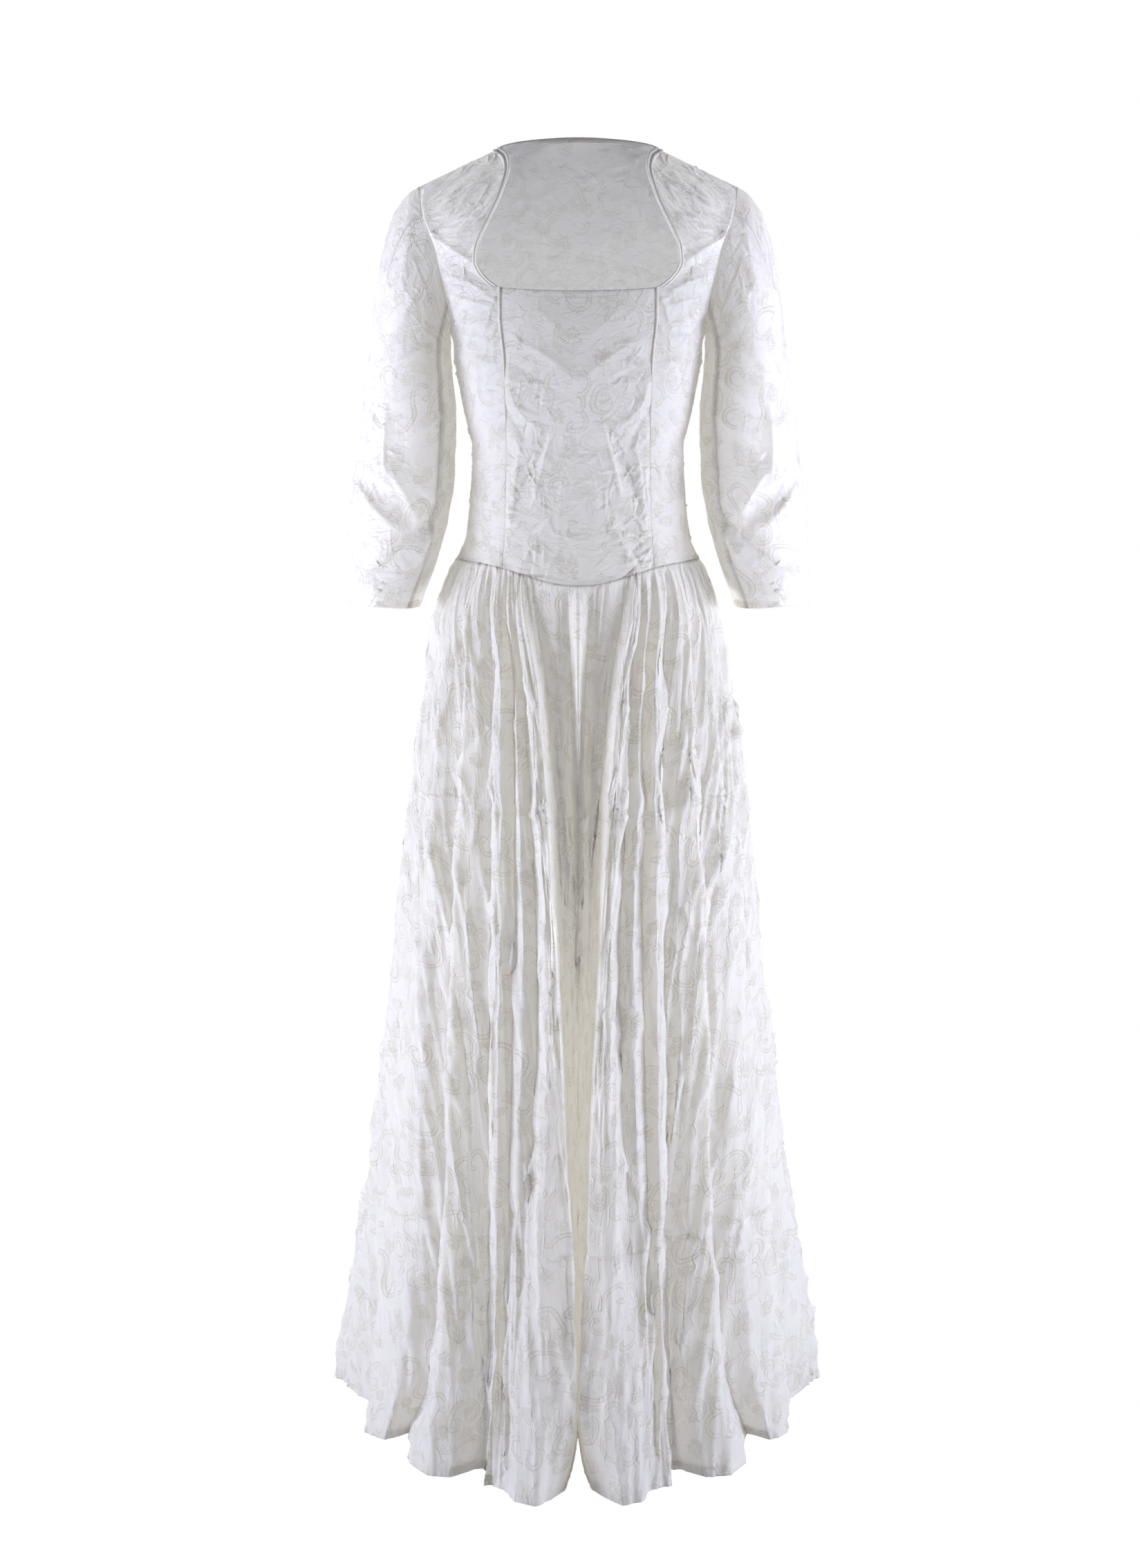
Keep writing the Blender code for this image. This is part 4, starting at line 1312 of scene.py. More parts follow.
@dataclass(frozen=True)
class Voile:
    """Plain-woven cotton voile, bleached white: matt, a little fuzzy, and it lets light through.

    Real threads are about 0.25 mm apart, too fine to show, so the weave is drawn 1.1 mm apart with long
    slubs.
    """

    name: str
    cloth: str = "#EBECF6"
    glow: str = "#F2EEE0"
    ink: str = "#9C9464"
    ink_strength: float = 0.36
    ink_inside: float = 0.18
    printed: bool = True
    weave: float = 1.1
    slub: float = 9.0
    weave_mm: float = 0.1
    crease_bend: float = 22.0
    crease_here: tuple[float, float] = (0.48, 0.68)
    crease_elsewhere: tuple[float, float] = (0.54, 0.36)
    press_half: float = 3.0
    press_sway: float = 10.0
    press_worn: tuple[float, float, float] = (0.35, 0.6, 0.3)
    bend_scale: float = 0.016
    bend_mm: float = 20.0
    wear_scale: float = 0.03
    wear: tuple[float, float, float] = (0.32, 0.66, 0.3)
    roughness: float = 0.88
    sheen: float = 0.25
    sheen_roughness: float = 0.45
    specular: float = 0.25
    lean: float = 0.5
    stretch: tuple[float, float, float] = (0.62, 1.25, 1.0)
    creases: tuple[tuple[float, float, float], ...] = ((22.0, 1.5, 0.55), (7.5, 0.9, 0.4))
    pressed: tuple[float, ...] = ()
    press_mm: float = 1.3
    let_through: float = 0.57
    pattern: ScrollPrint = field(default_factory=ScrollPrint)

    def material(self) -> bpy.types.Material:
        """Builds the shader on the cloth's own map.

        Bleached cotton scatters nearly all light, so it is pale, rough and without gloss. Its fuzz gives the
        sheen, and its open weave lets light through from behind.

        Returns:
            The material.
        """
        material = bpy.data.materials.new(self.name)
        material.use_nodes = True
        tree = material.node_tree
        tree.nodes.clear()
        uv = add(tree, "ShaderNodeUVMap", uv_map=CLOTH_MAP)
        place = add(tree, "ShaderNodeVectorMath", {0: uv, "Scale": 1 / MM}, operation="SCALE")
        colour, glow = linear_colour(self.cloth), linear_colour(self.glow)
        if self.printed:
            mask = self.mask(tree, place)
            ink = linear_colour(self.ink)
            colour, glow = [
                add(tree, "ShaderNodeMix", {"Factor": mask, "A": plain, "B": ink}, 2, data_type="RGBA")
                for plain in (colour, glow)
            ]
        normal = self.relief(tree, place)
        front = add(
            tree, "ShaderNodeBsdfPrincipled",
            {"Base Color": colour, "Roughness": self.roughness, "Sheen Weight": self.sheen,
             "Sheen Roughness": self.sheen_roughness, "Specular IOR Level": self.specular, "Normal": normal},
        )
        through = add(tree, "ShaderNodeBsdfTranslucent", {"Color": glow, "Normal": normal})
        shader = add(tree, "ShaderNodeMixShader", {0: self.let_through, 1: front, 2: through})
        add(tree, "ShaderNodeOutputMaterial", {0: shader})
        return material

    def mask(self, tree: Tree, place: Socket) -> Socket:
        """The print's strength: bent a little, worn in patches, and fainter on the inside.

        Args:
            tree: the material's tree.
            place: the place on the flat cloth, in millimetres.

        Returns:
            The share of ink.
        """
        bent = add(
            tree, "ShaderNodeTexNoise", {"Vector": place, "Scale": self.bend_scale, "Detail": 1.0}, "Color",
            noise_dimensions="2D",
        )
        amount = (self.bend_mm, self.bend_mm, 0.0)
        bent = add(tree, "ShaderNodeVectorMath", {0: bent, 1: amount, 2: place}, operation="MULTIPLY_ADD")
        mask = self.pattern.mask(tree, bent)
        wear = add(
            tree, "ShaderNodeTexNoise", {"Vector": place, "Scale": self.wear_scale, "Detail": 3.0}, "Fac",
            noise_dimensions="2D",
        )
        low, high, least = self.wear
        wear = add(tree, "ShaderNodeMapRange", {0: wear, 1: low, 2: high, 3: least, 4: 1.0})
        mask = add(tree, "ShaderNodeMath", {0: mask, 1: wear}, operation="MULTIPLY")
        inside = add(tree, "ShaderNodeNewGeometry", output="Backfacing")
        strength = add(
            tree, "ShaderNodeMapRange", {0: inside, 1: 0.0, 2: 1.0, 3: self.ink_strength, 4: self.ink_inside},
        )
        return add(tree, "ShaderNodeMath", {0: mask, 1: strength}, operation="MULTIPLY")

    def relief(self, tree: Tree, place: Socket) -> Socket:
        """Slubby threads both ways, small sharp creases and press lines, as one bump.

        The print is too flat to stand out. One noise bends and breaks up all the creases, because a bump
        works its height out three times.

        Args:
            tree: the material's tree.
            place: the place on the flat cloth, in millimetres.

        Returns:
            The bumped normal.
        """
        height: Socket | float = 0.0
        for stretch in ((1 / self.weave, 1 / self.slub, 1.0), (1 / self.slub, 1 / self.weave, 1.0)):
            thread = add(tree, "ShaderNodeVectorMath", {0: place, 1: stretch}, operation="MULTIPLY")
            thread = add(
                tree, "ShaderNodeTexNoise", {"Vector": thread, "Scale": 1.0, "Detail": 1.0}, "Fac",
                noise_dimensions="2D",
            )
            rise = {0: thread, 1: self.weave_mm, 2: height}
            height = add(tree, "ShaderNodeMath", rise, operation="MULTIPLY_ADD")
        bent = add(
            tree, "ShaderNodeTexNoise",
            {"Vector": place, "Scale": 1 / self.crease_bend, "Detail": 1.0}, "Color",
            noise_dimensions="2D",
        )
        parts = add(tree, "ShaderNodeSeparateXYZ", {0: bent}).node
        for number, (size, half_width, most) in enumerate(self.creases):
            line = self.crest(tree, place, bent, size, half_width)
            low, high = self.crease_elsewhere if number % 2 else self.crease_here
            here = add(tree, "ShaderNodeMapRange", {0: parts.outputs[2], 1: low, 2: high, 3: 0.0, 4: most})
            height = add(tree, "ShaderNodeMath", {0: line, 1: here, 2: height}, operation="MULTIPLY_ADD")
        for down in self.pressed:
            line = self.pressed_line(tree, place, parts.outputs[0], down)
            rise = {0: line, 1: self.press_mm, 2: height}
            height = add(tree, "ShaderNodeMath", rise, operation="MULTIPLY_ADD")
        return add(tree, "ShaderNodeBump", {"Height": height, "Distance": MM, "Strength": 1.0})

    def pressed_line(self, tree: Tree, place: Socket, sway: Socket, down: float) -> Socket:
        """A level crease from when the cloth lay folded in a parcel.

        Args:
            tree: the material's tree.
            place: the place on the flat cloth.
            sway: a noise that bends the crease and wears it away.
            down: its distance down the cloth.

        Returns:
            The share of its height.
        """
        up = add(tree, "ShaderNodeSeparateXYZ", {0: place}, 1)
        off = add(tree, "ShaderNodeMath", {0: sway, 1: self.press_sway, 2: up}, operation="MULTIPLY_ADD")
        off = add(tree, "ShaderNodeMath", {0: off, 1: down - self.press_sway / 2}, operation="ADD")
        off = add(tree, "ShaderNodeMath", {0: off}, operation="ABSOLUTE")
        line = add(tree, "ShaderNodeMapRange", {0: off, 1: 0.0, 2: self.press_half, 3: 1.0, 4: 0.0})
        low, high, least = self.press_worn
        worn = add(tree, "ShaderNodeMapRange", {0: sway, 1: low, 2: high, 3: least, 4: 1.0})
        return add(tree, "ShaderNodeMath", {0: line, 1: worn}, operation="MULTIPLY")

    def crest(self, tree: Tree, place: Socket, bent: Socket, size: float, half_width: float) -> Socket:
        """Sharp crests where facets of a size meet.

        Args:
            tree: the material's tree.
            place: the place on the flat cloth.
            bent: a noise that bends the crests.
            size: the facets' size in millimetres.
            half_width: the crests' half width.

        Returns:
            The share of their height.
        """
        leaning = add(
            tree, "ShaderNodeMapping",
            {"Vector": place, "Rotation": (0, 0, self.lean), "Scale": self.stretch},
        )
        amount = (size, size, 0.0)
        moved = add(tree, "ShaderNodeVectorMath", {0: bent, 1: amount, 2: leaning}, operation="MULTIPLY_ADD")
        edge = add(
            tree, "ShaderNodeTexVoronoi", {"Vector": moved, "Scale": 1 / size}, "Distance",
            voronoi_dimensions="2D", feature="DISTANCE_TO_EDGE",
        )
        return add(tree, "ShaderNodeMapRange", {0: edge, 1: 0.0, 2: half_width / size, 3: 1.0, 4: 0.0})


@dataclass(frozen=True)
class Finishes:
    """The materials of the dress."""

    voile: bpy.types.Material
    gathered: bpy.types.Material
    binding: bpy.types.Material


@dataclass
class Piece:
    """A finished piece and what is known of it.

    Attributes:
        thing: the object.
        node: the solid that it stands for.
        slot: the name of its material slot; not used.
        held: how its cloth is held, or empty for a trim.
        cut: width and length of the flat cut in metres.
        area: flat area of the cut in square metres.
    """

    thing: bpy.types.Object
    node: str
    slot: str
    held: str = ""
    cut: tuple[float, float] = (0.0, 0.0)
    area: float = 0.0


def cloth_piece(panel: Panel, node: str, finish: bpy.types.Material, held: str = "hung") -> Piece:
    """Makes a panel's object and works out its flat cut from its map.

    Args:
        panel: the cloth.
        node: the solid that it stands for.
        finish: its material.
        held: how it is held.

    Returns:
        The piece.
    """
    places = panel.flat.reshape(-1, 2)
    width, length = (places.max(axis=0) - places.min(axis=0)) * MM
    widths = panel.flat[..., 0].max(axis=1) - panel.flat[..., 0].min(axis=1)
    heights = panel.flat[..., 1].mean(axis=1)
    area = abs(np.sum((widths[1:] + widths[:-1]) / 2 * np.diff(heights))) * MM * MM
    thing = panel.object(f"{node}_cloth", finish)
    area = float(min(area, width * length))
    return Piece(thing, node, "voile", held, (float(width), float(length)), area)


@dataclass
class Bodice:
    """The fitted bodice with its bound neck and corded princess seams."""

    body: BodyForm
    finishes: Finishes
    seam_depth: float = 0.12
    seam_width: float = 0.8
    binding_width: float = 5.0
    shoulder_widening: float = 0.8
    piping_radius: float = 1.5
    piping_start: float = 0.35
    piping_run: float = 30.0
    piping_out: float = 0.35
    piping_chest: tuple[float, float] = (140.0, 110.0)
    chest_share: float = 0.25
    waist_share: float = 0.35
    beside_share: float = 0.45
    waist_levels: tuple[float, float] = (-150.0, -290.0)
    beside_from: tuple[float, float] = (20.0, 60.0)
    side_share: tuple[float, float] = (0.5, 0.6)
    side_levels: tuple[float, float] = (-240.0, -150.0)
    binding_cover: float = 0.6
    binding_start: float = 9.0
    shoulder_levels: tuple[float, float] = (-70.0, -5.0)
    binding_rows: tuple[int, int] = (120, 141)
    cord_rows: int = 70
    cord_sides: int = 12
    trim_map: tuple[float, float] = (1.2, 1.3)
    centre_columns: int = 161
    centre_rows: int = 221
    neckline_sag: float = 3.7
    neckline_stitch: tuple[float, float, float] = (0.35, 1.0, 6.0)
    side_columns: int = 91
    side_rows: tuple[int, int] = (189, 120)
    back_rows: tuple[int, int] = (149, 46)
    back_columns: tuple[int, int] = (33, 31)
    side_map_start: tuple[float, float] = (90.0, 0.0)
    back_map_start: tuple[float, float] = (40.0, 31.0)
    centre_creases: tuple[Crease, ...] = (
        Crease(62, -190, 2, -234, 2.4, 6.0, bow=-4),
        Crease(74, -212, 10, -250, -1.6, 7.0),
        Crease(78, -232, 14, -238, 0.9, 1.8),
        Crease(76, -236, 43, -283, 3.0, 4.5, bow=6),
        Crease(24, -268, 48, -358, 2.0, 2.4),
        Crease(36, -300, 70, -372, -1.6, 6.0),
        Crease(64, -300, 76, -400, 1.6, 4.0),
        Crease(6, -300, 22, -420, 1.4, 5.0, bow=5),
        Crease(30, -380, 66, -440, 1.5, 4.0),
        Crease(50, -150, 12, -186, 1.2, 7.0),
        Crease(80, -262, 58, -300, -2.0, 5.0),
    )
    side_creases: tuple[Crease, ...] = (
        Crease(172, -40, 152, -84, 2.6, 5.0, bow=4),
        Crease(156, -78, 118, -103, 2.2, 4.0),
        Crease(150, -98, 112, -118, -2.0, 6.0),
        Crease(147, -118, 100, -137, 2.4, 3.6, bow=-3),
        Crease(145, -138, 96, -152, 2.0, 3.0),
        Crease(144, -158, 98, -170, 2.2, 4.2, bow=3),
        Crease(141, -182, 100, -188, 1.6, 3.4),
        Crease(139, -204, 92, -214, 1.8, 4.5),
        Crease(90, -140, 104, -180, 1.4, 3.0),
        Crease(130, -232, 90, -236, 0.8, 1.8),
        Crease(126, -270, 88, -292, 1.8, 5.0),
        Crease(121, -318, 90, -334, 1.6, 5.0),
        Crease(122, -362, 92, -372, 1.5, 4.5),
        Crease(126, -398, 96, -410, 1.3, 4.0),
        Crease(108, -8, 132, -40, 1.4, 4.0),
        Crease(128, -20, 150, -44, 1.3, 3.4),
    )
    back_creases: tuple[Crease, ...] = (
        Crease(158, -84, 112, -104, 2.4, 6.0, bow=3),
        Crease(150, -128, 100, -150, 2.2, 5.0),
        Crease(143, -168, 92, -176, 2.0, 5.0),
        Crease(60, -60, 10, -90, 1.6, 8.0),
        Crease(120, -232, 8, -236, 0.7, 1.8),
        Crease(112, -280, 60, -306, 1.8, 5.0),
        Crease(110, -330, 50, -344, 2.0, 5.0, bow=4),
        Crease(112, -372, 44, -380, 2.0, 4.5),
        Crease(108, -404, 40, -412, 1.6, 4.0),
        Crease(30, -150, 44, -300, 1.2, 7.0),
    )
    crumple: Crumple = Crumple(spacing=6.5, length=24.0, width=1.25)
    back_crumple: Crumple = Crumple(spacing=6.5, length=24.0, width=1.25, seed=SEED + 2)
    side_crumple: Crumple = Crumple(
        spacing=5.5, length=24.0, width=1.1, lean=-28.0, spread=24.0, height=1.5, seed=SEED + 1,
    )

    def build(self) -> list[Piece]:
        """Builds the panels and trims.

        Returns:
            The nine pieces.
        """
        side = self.side_front()
        pieces = [
            cloth_piece(self.front_centre(), "bodice_front_centre", self.finishes.voile),
            cloth_piece(side, "bodice_front_side_right", self.finishes.voile),
            cloth_piece(side.mirrored(), "bodice_front_side_left", self.finishes.voile),
            cloth_piece(self.back(), "bodice_back", self.finishes.voile),
        ]
        pieces += self.trims()
        return pieces

    def front_centre(self) -> Panel:
        """Front panel between the princess seams, smooth over the chest and crumpled beside the waist.

        Returns:
            The panel.
        """
        across = np.linspace(-1, 1, self.centre_columns)[None, :]
        rows = np.linspace(0, 1, self.centre_rows)[:, None]
        level = WAIST_Z + (CHEST_Z - WAIST_Z) * rows
        turn = across * self.body.turn_for(read(PRINCESS_SEAM, "x", level), level)
        sag = self.neckline_sag * rows**6 * (1 - across**2)
        level = self.body.dipped(level, turn, self.body.front_dip) - sag
        points = self.body.front(turn, level)
        panel = Panel(points, flat_map(points, self.centre_columns // 2, upward=True))
        low = blend(*self.waist_levels, points[..., 2])
        beside = blend(*self.beside_from, np.abs(points[..., 0]))
        share = self.chest_share + low * (self.waist_share + self.beside_share * beside)
        share = share * panel.clear_of(SIDES)
        panel.lift(self.crumple.lift(panel.flat) * share)
        panel.crease(self.centre_creases)
        seams = (*SIDES, Rim.FIRST_ROW)
        panel.groove(seams, self.seam_depth, self.seam_width)
        panel.groove((Rim.LAST_ROW,), *self.neckline_stitch)
        folded = ((Rim.LAST_ROW, 3), (Rim.FIRST_ROW, 3), (Rim.FIRST_COLUMN, 4), (Rim.LAST_COLUMN, 4))
        for rim, count in folded:
            panel.turn_under(rim, count)
        return panel

    def side_front(self) -> Panel:
        """Right side front with its shoulder strap, wrinkled most near the armhole.

        Returns:
            The panel.
        """
        across = np.linspace(0, 1, self.side_columns)[None, :]
        low = np.linspace(WAIST_Z, CHEST_Z, self.side_rows[0] + 1)[:-1]
        level = np.concatenate([low, np.linspace(CHEST_Z, TOP_LEVEL, self.side_rows[1])])[:, None]
        covered = self.binding_cover * self.binding_width
        covered = covered * blend(CHEST_Z, CHEST_Z + self.binding_start, level)
        inner = self.body.inner_turn(level, np.where(level > CHEST_Z, covered, 0.0))
        outer = self.body.armhole_turn(self.body.front, FRONT_ARMHOLE, level)
        turn = inner + (outer - inner) * across
        points = self.body.front(turn, self.body.dipped(level, turn, self.body.front_dip))
        panel = Panel(points, flat_map(points, 0, upward=True) + np.array(self.side_map_start))
        share = self.side_share[0] + self.side_share[1] * blend(*self.side_levels, points[..., 2])
        panel.lift(self.side_crumple.lift(panel.flat) * share * panel.clear_of(tuple(Rim)))
        panel.crease(self.side_creases)
        panel.groove(tuple(Rim), self.seam_depth, self.seam_width)
        for rim in Rim:
            panel.turn_under(rim, 3)
        return panel

    def back(self) -> Panel:
        """Back in one piece, up to the arched neck edge.

        Returns:
            The panel.
        """
        low = np.linspace(WAIST_Z, UPPER_BACK_Z, self.back_rows[0] + 1)[:-1]
        level = np.concatenate([low, np.linspace(UPPER_BACK_Z, TOP_LEVEL, self.back_rows[1])])[:, None]
        outer = self.body.armhole_turn(self.body.back, BACK_ARMHOLE, level)
        neck = self.body.turn_for(np.array(self.body.neck_half), np.array(TOP_LEVEL))
        in_neck = neck * np.sin(np.linspace(0, np.pi / 2, self.back_columns[0]))
        past_neck = np.linspace(0, 1, self.back_columns[1])[1:]
        inner = np.broadcast_to(in_neck, (len(level), len(in_neck)))
        right = np.concatenate([inner, neck + (outer - neck) * past_neck], axis=1)
        turn = np.concatenate([-right[:, :0:-1], right], axis=1)
        points = self.body.back(turn, self.body.dipped(level, turn, self.body.back_dip))
        flat = flat_map(points, turn.shape[1] // 2, upward=True) + np.array(self.back_map_start)
        panel = Panel(points, flat)
        panel.lift(self.back_crumple.lift(panel.flat) * panel.clear_of(tuple(Rim)))
        panel.crease(self.back_creases, front=False)
        panel.groove((*SIDES, Rim.FIRST_ROW), self.seam_depth, self.seam_width)
        for rim in Rim:
            panel.turn_under(rim, 2)
        return panel

    def trims(self) -> list[Piece]:
        """Bound neck edges and corded seams.

        Returns:
            The three stretches of binding and the two cords.
        """
        front_rows, back_rows = self.binding_rows
        level = np.linspace(CHEST_Z + 1, TOP_LEVEL, front_rows)[:, None]
        widening = self.shoulder_widening * blend(*self.shoulder_levels, level)
        width = self.binding_width * (1 + widening) * self.slant(level)
        right = self.binding(lambda share: self.body.front(self.body.inner_turn(level, share * width), level))
        neck = self.body.turn_for(np.array(self.body.neck_half), np.array(TOP_LEVEL))
        turn = (neck * np.sin(np.linspace(-np.pi / 2, np.pi / 2, back_rows)))[:, None]
        band = np.full(turn.shape, self.binding_width)
        back = self.binding(lambda share: self.body.back(turn, -share * band))
        pieces = [
            self.trim(right, "neck_binding_right"),
            self.trim(right * (-1, 1, 1), "neck_binding_left"),
            self.trim(back, "neck_binding_back"),
        ]
        seam = np.linspace(PIPING_END_Z, CHEST_Z + 1, self.cord_rows)[:, None]
        cord = self.cord(seam)
        pieces.append(self.trim(cord, "princess_piping_right"))
        pieces.append(self.trim(cord * (-1, 1, 1), "princess_piping_left"))
        return pieces

    def slant(self, level: np.ndarray) -> np.ndarray:
        """How much longer a step across the neckline is along a row, where the neckline runs aslant to it.

        Args:
            level: the levels to work it out at.

        Returns:
            The share at each level.
        """
        ends = [self.body.front(self.body.inner_turn(at, 0.0), at) for at in (level - 1, level + 1)]
        run = ends[1] - ends[0]
        return np.sqrt(1 + run[..., 0] ** 2 / (run[..., 1] ** 2 + run[..., 2] ** 2))

    def binding(self, strip: Callable[[float], np.ndarray]) -> np.ndarray:
        """Wraps a folded band round an edge: two soft rolls outside and a flat inside.

        Args:
            strip: gives the line along the edge at a share of the band's width.

        Returns:
            The band's sections, one row for each.
        """
        section = (
            (0.02, -0.9), (-0.06, -0.3), (-0.06, 0.5), (0.03, 1.3), (0.2, 1.8), (0.36, 1.4), (0.46, 0.6),
            (0.54, 0.6), (0.64, 1.4), (0.8, 1.8), (0.95, 1.3), (1.03, 0.45), (1.0, -0.5), (0.5, -0.95),
        )
        low, high = strip(0.0), strip(1.0)
        along = np.gradient(low[:, 0], axis=0)
        across = (high - low)[:, 0]
        normal = np.cross(along, across)
        normal /= np.linalg.norm(normal, axis=-1, keepdims=True)
        normal *= np.sign((normal[:, 1] * low[:, 0, 1]).sum() or 1.0)
        rows = [low[:, 0] + share * across + lift * normal for share, lift in (*section, section[0])]
        return np.stack(rows, axis=1)

    def cord(self, level: np.ndarray) -> np.ndarray:
        """A fine cord along the princess seam, thinner at its lower end.

        Args:
            level: heights along the seam.

        Returns:
            The cord's sections, one row for each.
        """
        points = self.body.front(self.body.turn_for(read(PRINCESS_SEAM, "x", level), level), level)[:, 0]
        along = np.gradient(points, axis=0)
        along /= np.linalg.norm(along, axis=-1, keepdims=True)
        half_width, depth = self.piping_chest
        out = stacked(points[:, 0] / half_width**2, points[:, 1] / depth**2, 0.0 * points[:, 2])
        out /= np.linalg.norm(out, axis=-1, keepdims=True)
        aside = np.cross(along, out)
        fade = blend(PIPING_END_Z, PIPING_END_Z + self.piping_run, level)
        thick = self.piping_radius * (self.piping_start + (1 - self.piping_start) * fade)
        turns = np.linspace(0, 2 * np.pi, self.cord_sides + 1)
        rows = [points + thick * (np.cos(t) * aside + (self.piping_out + np.sin(t)) * out) for t in turns]
        return np.stack(rows, axis=1)

    def trim(self, section_rows: np.ndarray, node: str) -> Piece:
        """Closes a swept section into a tube with filled ends.

        Args:
            section_rows: the sections, one row for each.
            node: the solid that it stands for.

        Returns:
            The piece.
        """
        rows, columns = section_rows.shape[0] - 1, section_rows.shape[1] - 1
        mesh = bmesh.new()
        bmesh.ops.create_grid(mesh, x_segments=columns, y_segments=rows, size=1)
        uv = mesh.loops.layers.uv.new(CLOTH_MAP)
        for vertex in mesh.verts:
            column = round((vertex.co.x + 1) / 2 * columns)
            row = round((vertex.co.y + 1) / 2 * rows)
            for loop in vertex.link_loops:
                loop[uv].uv = (column * self.trim_map[0] * MM, row * self.trim_map[1] * MM)
            vertex.co = Vector(section_rows[row, column]) * MM
        bmesh.ops.remove_doubles(mesh, verts=mesh.verts, dist=0.00002)
        bmesh.ops.holes_fill(mesh, edges=mesh.edges, sides=columns + 2)
        bmesh.ops.recalc_face_normals(mesh, faces=mesh.faces)
        data = bpy.data.meshes.new(node)
        mesh.to_mesh(data)
        mesh.free()
        data.shade_smooth()
        data.materials.append(self.finishes.binding)
        thing = link(bpy.data.objects.new(f"{node}_trim", data))
        return Piece(thing, node, "binding")


@dataclass
class Sleeves:
    """Two-piece three-quarter sleeves, set into the armholes."""

    form: SleeveForm
    finishes: Finishes
    front_seam: float = -45.0
    outer_seam: float = 52.0
    centre: tuple[float, float] = (200.0, -10.0)
    front_columns: int = 80
    back_columns: int = 120
    cap_rows: int = 80
    arm_rows: int = 150
    outer_from: tuple[float, float] = (175.0, 225.0)
    share: tuple[float, float] = (0.35, 0.5)
    seam: tuple[float, float] = (0.12, 0.8)
    cuff_stitch: tuple[float, float, float] = (0.35, 1.5, 7.0)
    hem_depth: float = 0.7
    creases: tuple[Crease, ...] = (
        Crease(213, -262, 215, -344, 3.0, 3.6, bow=2),
        Crease(226, -230, 232, -300, 2.0, 5.0),
        Crease(196, -196, 206, -262, 2.0, 6.0, bow=4),
        Crease(168, -196, 210, -226, 3.2, 6.0, bow=4),
        Crease(160, -232, 200, -258, 3.0, 6.0, bow=-4),
        Crease(152, -270, 190, -300, 2.6, 5.0),
        Crease(207, -336, 178, -398, 4.6, 5.0, bow=-3),
        Crease(236, -330, 206, -352, 3.4, 5.0),
        Crease(244, -352, 198, -400, 4.0, 5.5, bow=4),
        Crease(178, -350, 152, -380, 3.0, 5.0),
        Crease(200, -404, 158, -390, -4.0, 7.0),
        Crease(165, -402, 242, -476, 7.0, 6.5, bow=-5),
        Crease(176, -398, 236, -440, -5.0, 8.0, bow=-3),
        Crease(168, -430, 206, -482, 3.0, 6.0, bow=3),
        Crease(246, -400, 252, -470, 2.4, 5.0),
        Crease(184, -60, 196, -130, 1.8, 6.0),
        Crease(180, -96, 206, -150, 2.0, 6.0, bow=3),
        Crease(176, -130, 200, -178, 2.2, 5.0),
    )
    back_creases: tuple[Crease, ...] = (
        Crease(160, -210, 215, -246, 3.0, 8.0, bow=4),
        Crease(152, -262, 220, -290, 3.0, 8.0),
        Crease(236, -322, 160, -350, 4.0, 8.0, bow=5),
        Crease(240, -372, 158, -388, 4.2, 7.0, bow=-4),
        Crease(246, -416, 176, -436, 3.4, 7.0),
        Crease(200, -440, 216, -482, 2.4, 7.0),
        Crease(186, -80, 200, -160, 2.0, 8.0),
    )
    crumple: Crumple = Crumple(
        spacing=7.0, length=28.0, width=1.3, height=2.2, facet=1.2, lean=60.0, spread=45.0, seed=SEED + 5,
    )

    def build(self) -> list[Piece]:
        """Builds both sleeves, the front part between its seams and the back part round the rest.

        Returns:
            The four pieces.
        """
        front = self.panel(self.front_seam, self.outer_seam, self.front_columns)
        back = self.panel(self.outer_seam, self.front_seam + 360, self.back_columns)
        pieces = []
        for side in ("right", "left"):
            for part, panel in (("front", front), ("back", back)):
                shown = panel if side == "right" else panel.mirrored()
                pieces.append(cloth_piece(shown, f"sleeve_{part}_{side}", self.finishes.voile))
        return pieces

    def panel(self, turn_from: float, turn_to: float, columns: int) -> Panel:
        """A stretch of sleeve with its creases, cuff hem and seam allowances.

        Args:
            turn_from: the turn of its first seam.
            turn_to: the turn of its other seam.
            columns: how many columns of cloth it has.

        Returns:
            The panel.
        """
        points = self.form.stretch(turn_from, turn_to, columns, self.cap_rows, self.arm_rows)
        panel = Panel(points, flat_map(points, columns // 2, upward=False), self.centre)
        turns = np.linspace(turn_from, turn_to, columns + 1)[None, :]
        panel.lift(self.form.folds(turns, points[..., 2]))
        share = self.share[0] + self.share[1] * blend(*self.outer_from, points[..., 0])
        seams = (*SIDES, Rim.FIRST_ROW)
        panel.lift(self.crumple.lift(panel.flat) * share * panel.clear_of(seams))
        panel.crease(self.creases)
        panel.crease(self.back_creases, front=False)
        panel.groove(SIDES, *self.seam)
        panel.groove((Rim.LAST_ROW,), *self.cuff_stitch)
        panel.turn_under(Rim.LAST_ROW, 4, self.hem_depth)
        for rim, count in ((Rim.FIRST_ROW, 2), (Rim.FIRST_COLUMN, 3), (Rim.LAST_COLUMN, 3)):
            panel.turn_under(rim, count)
        return panel


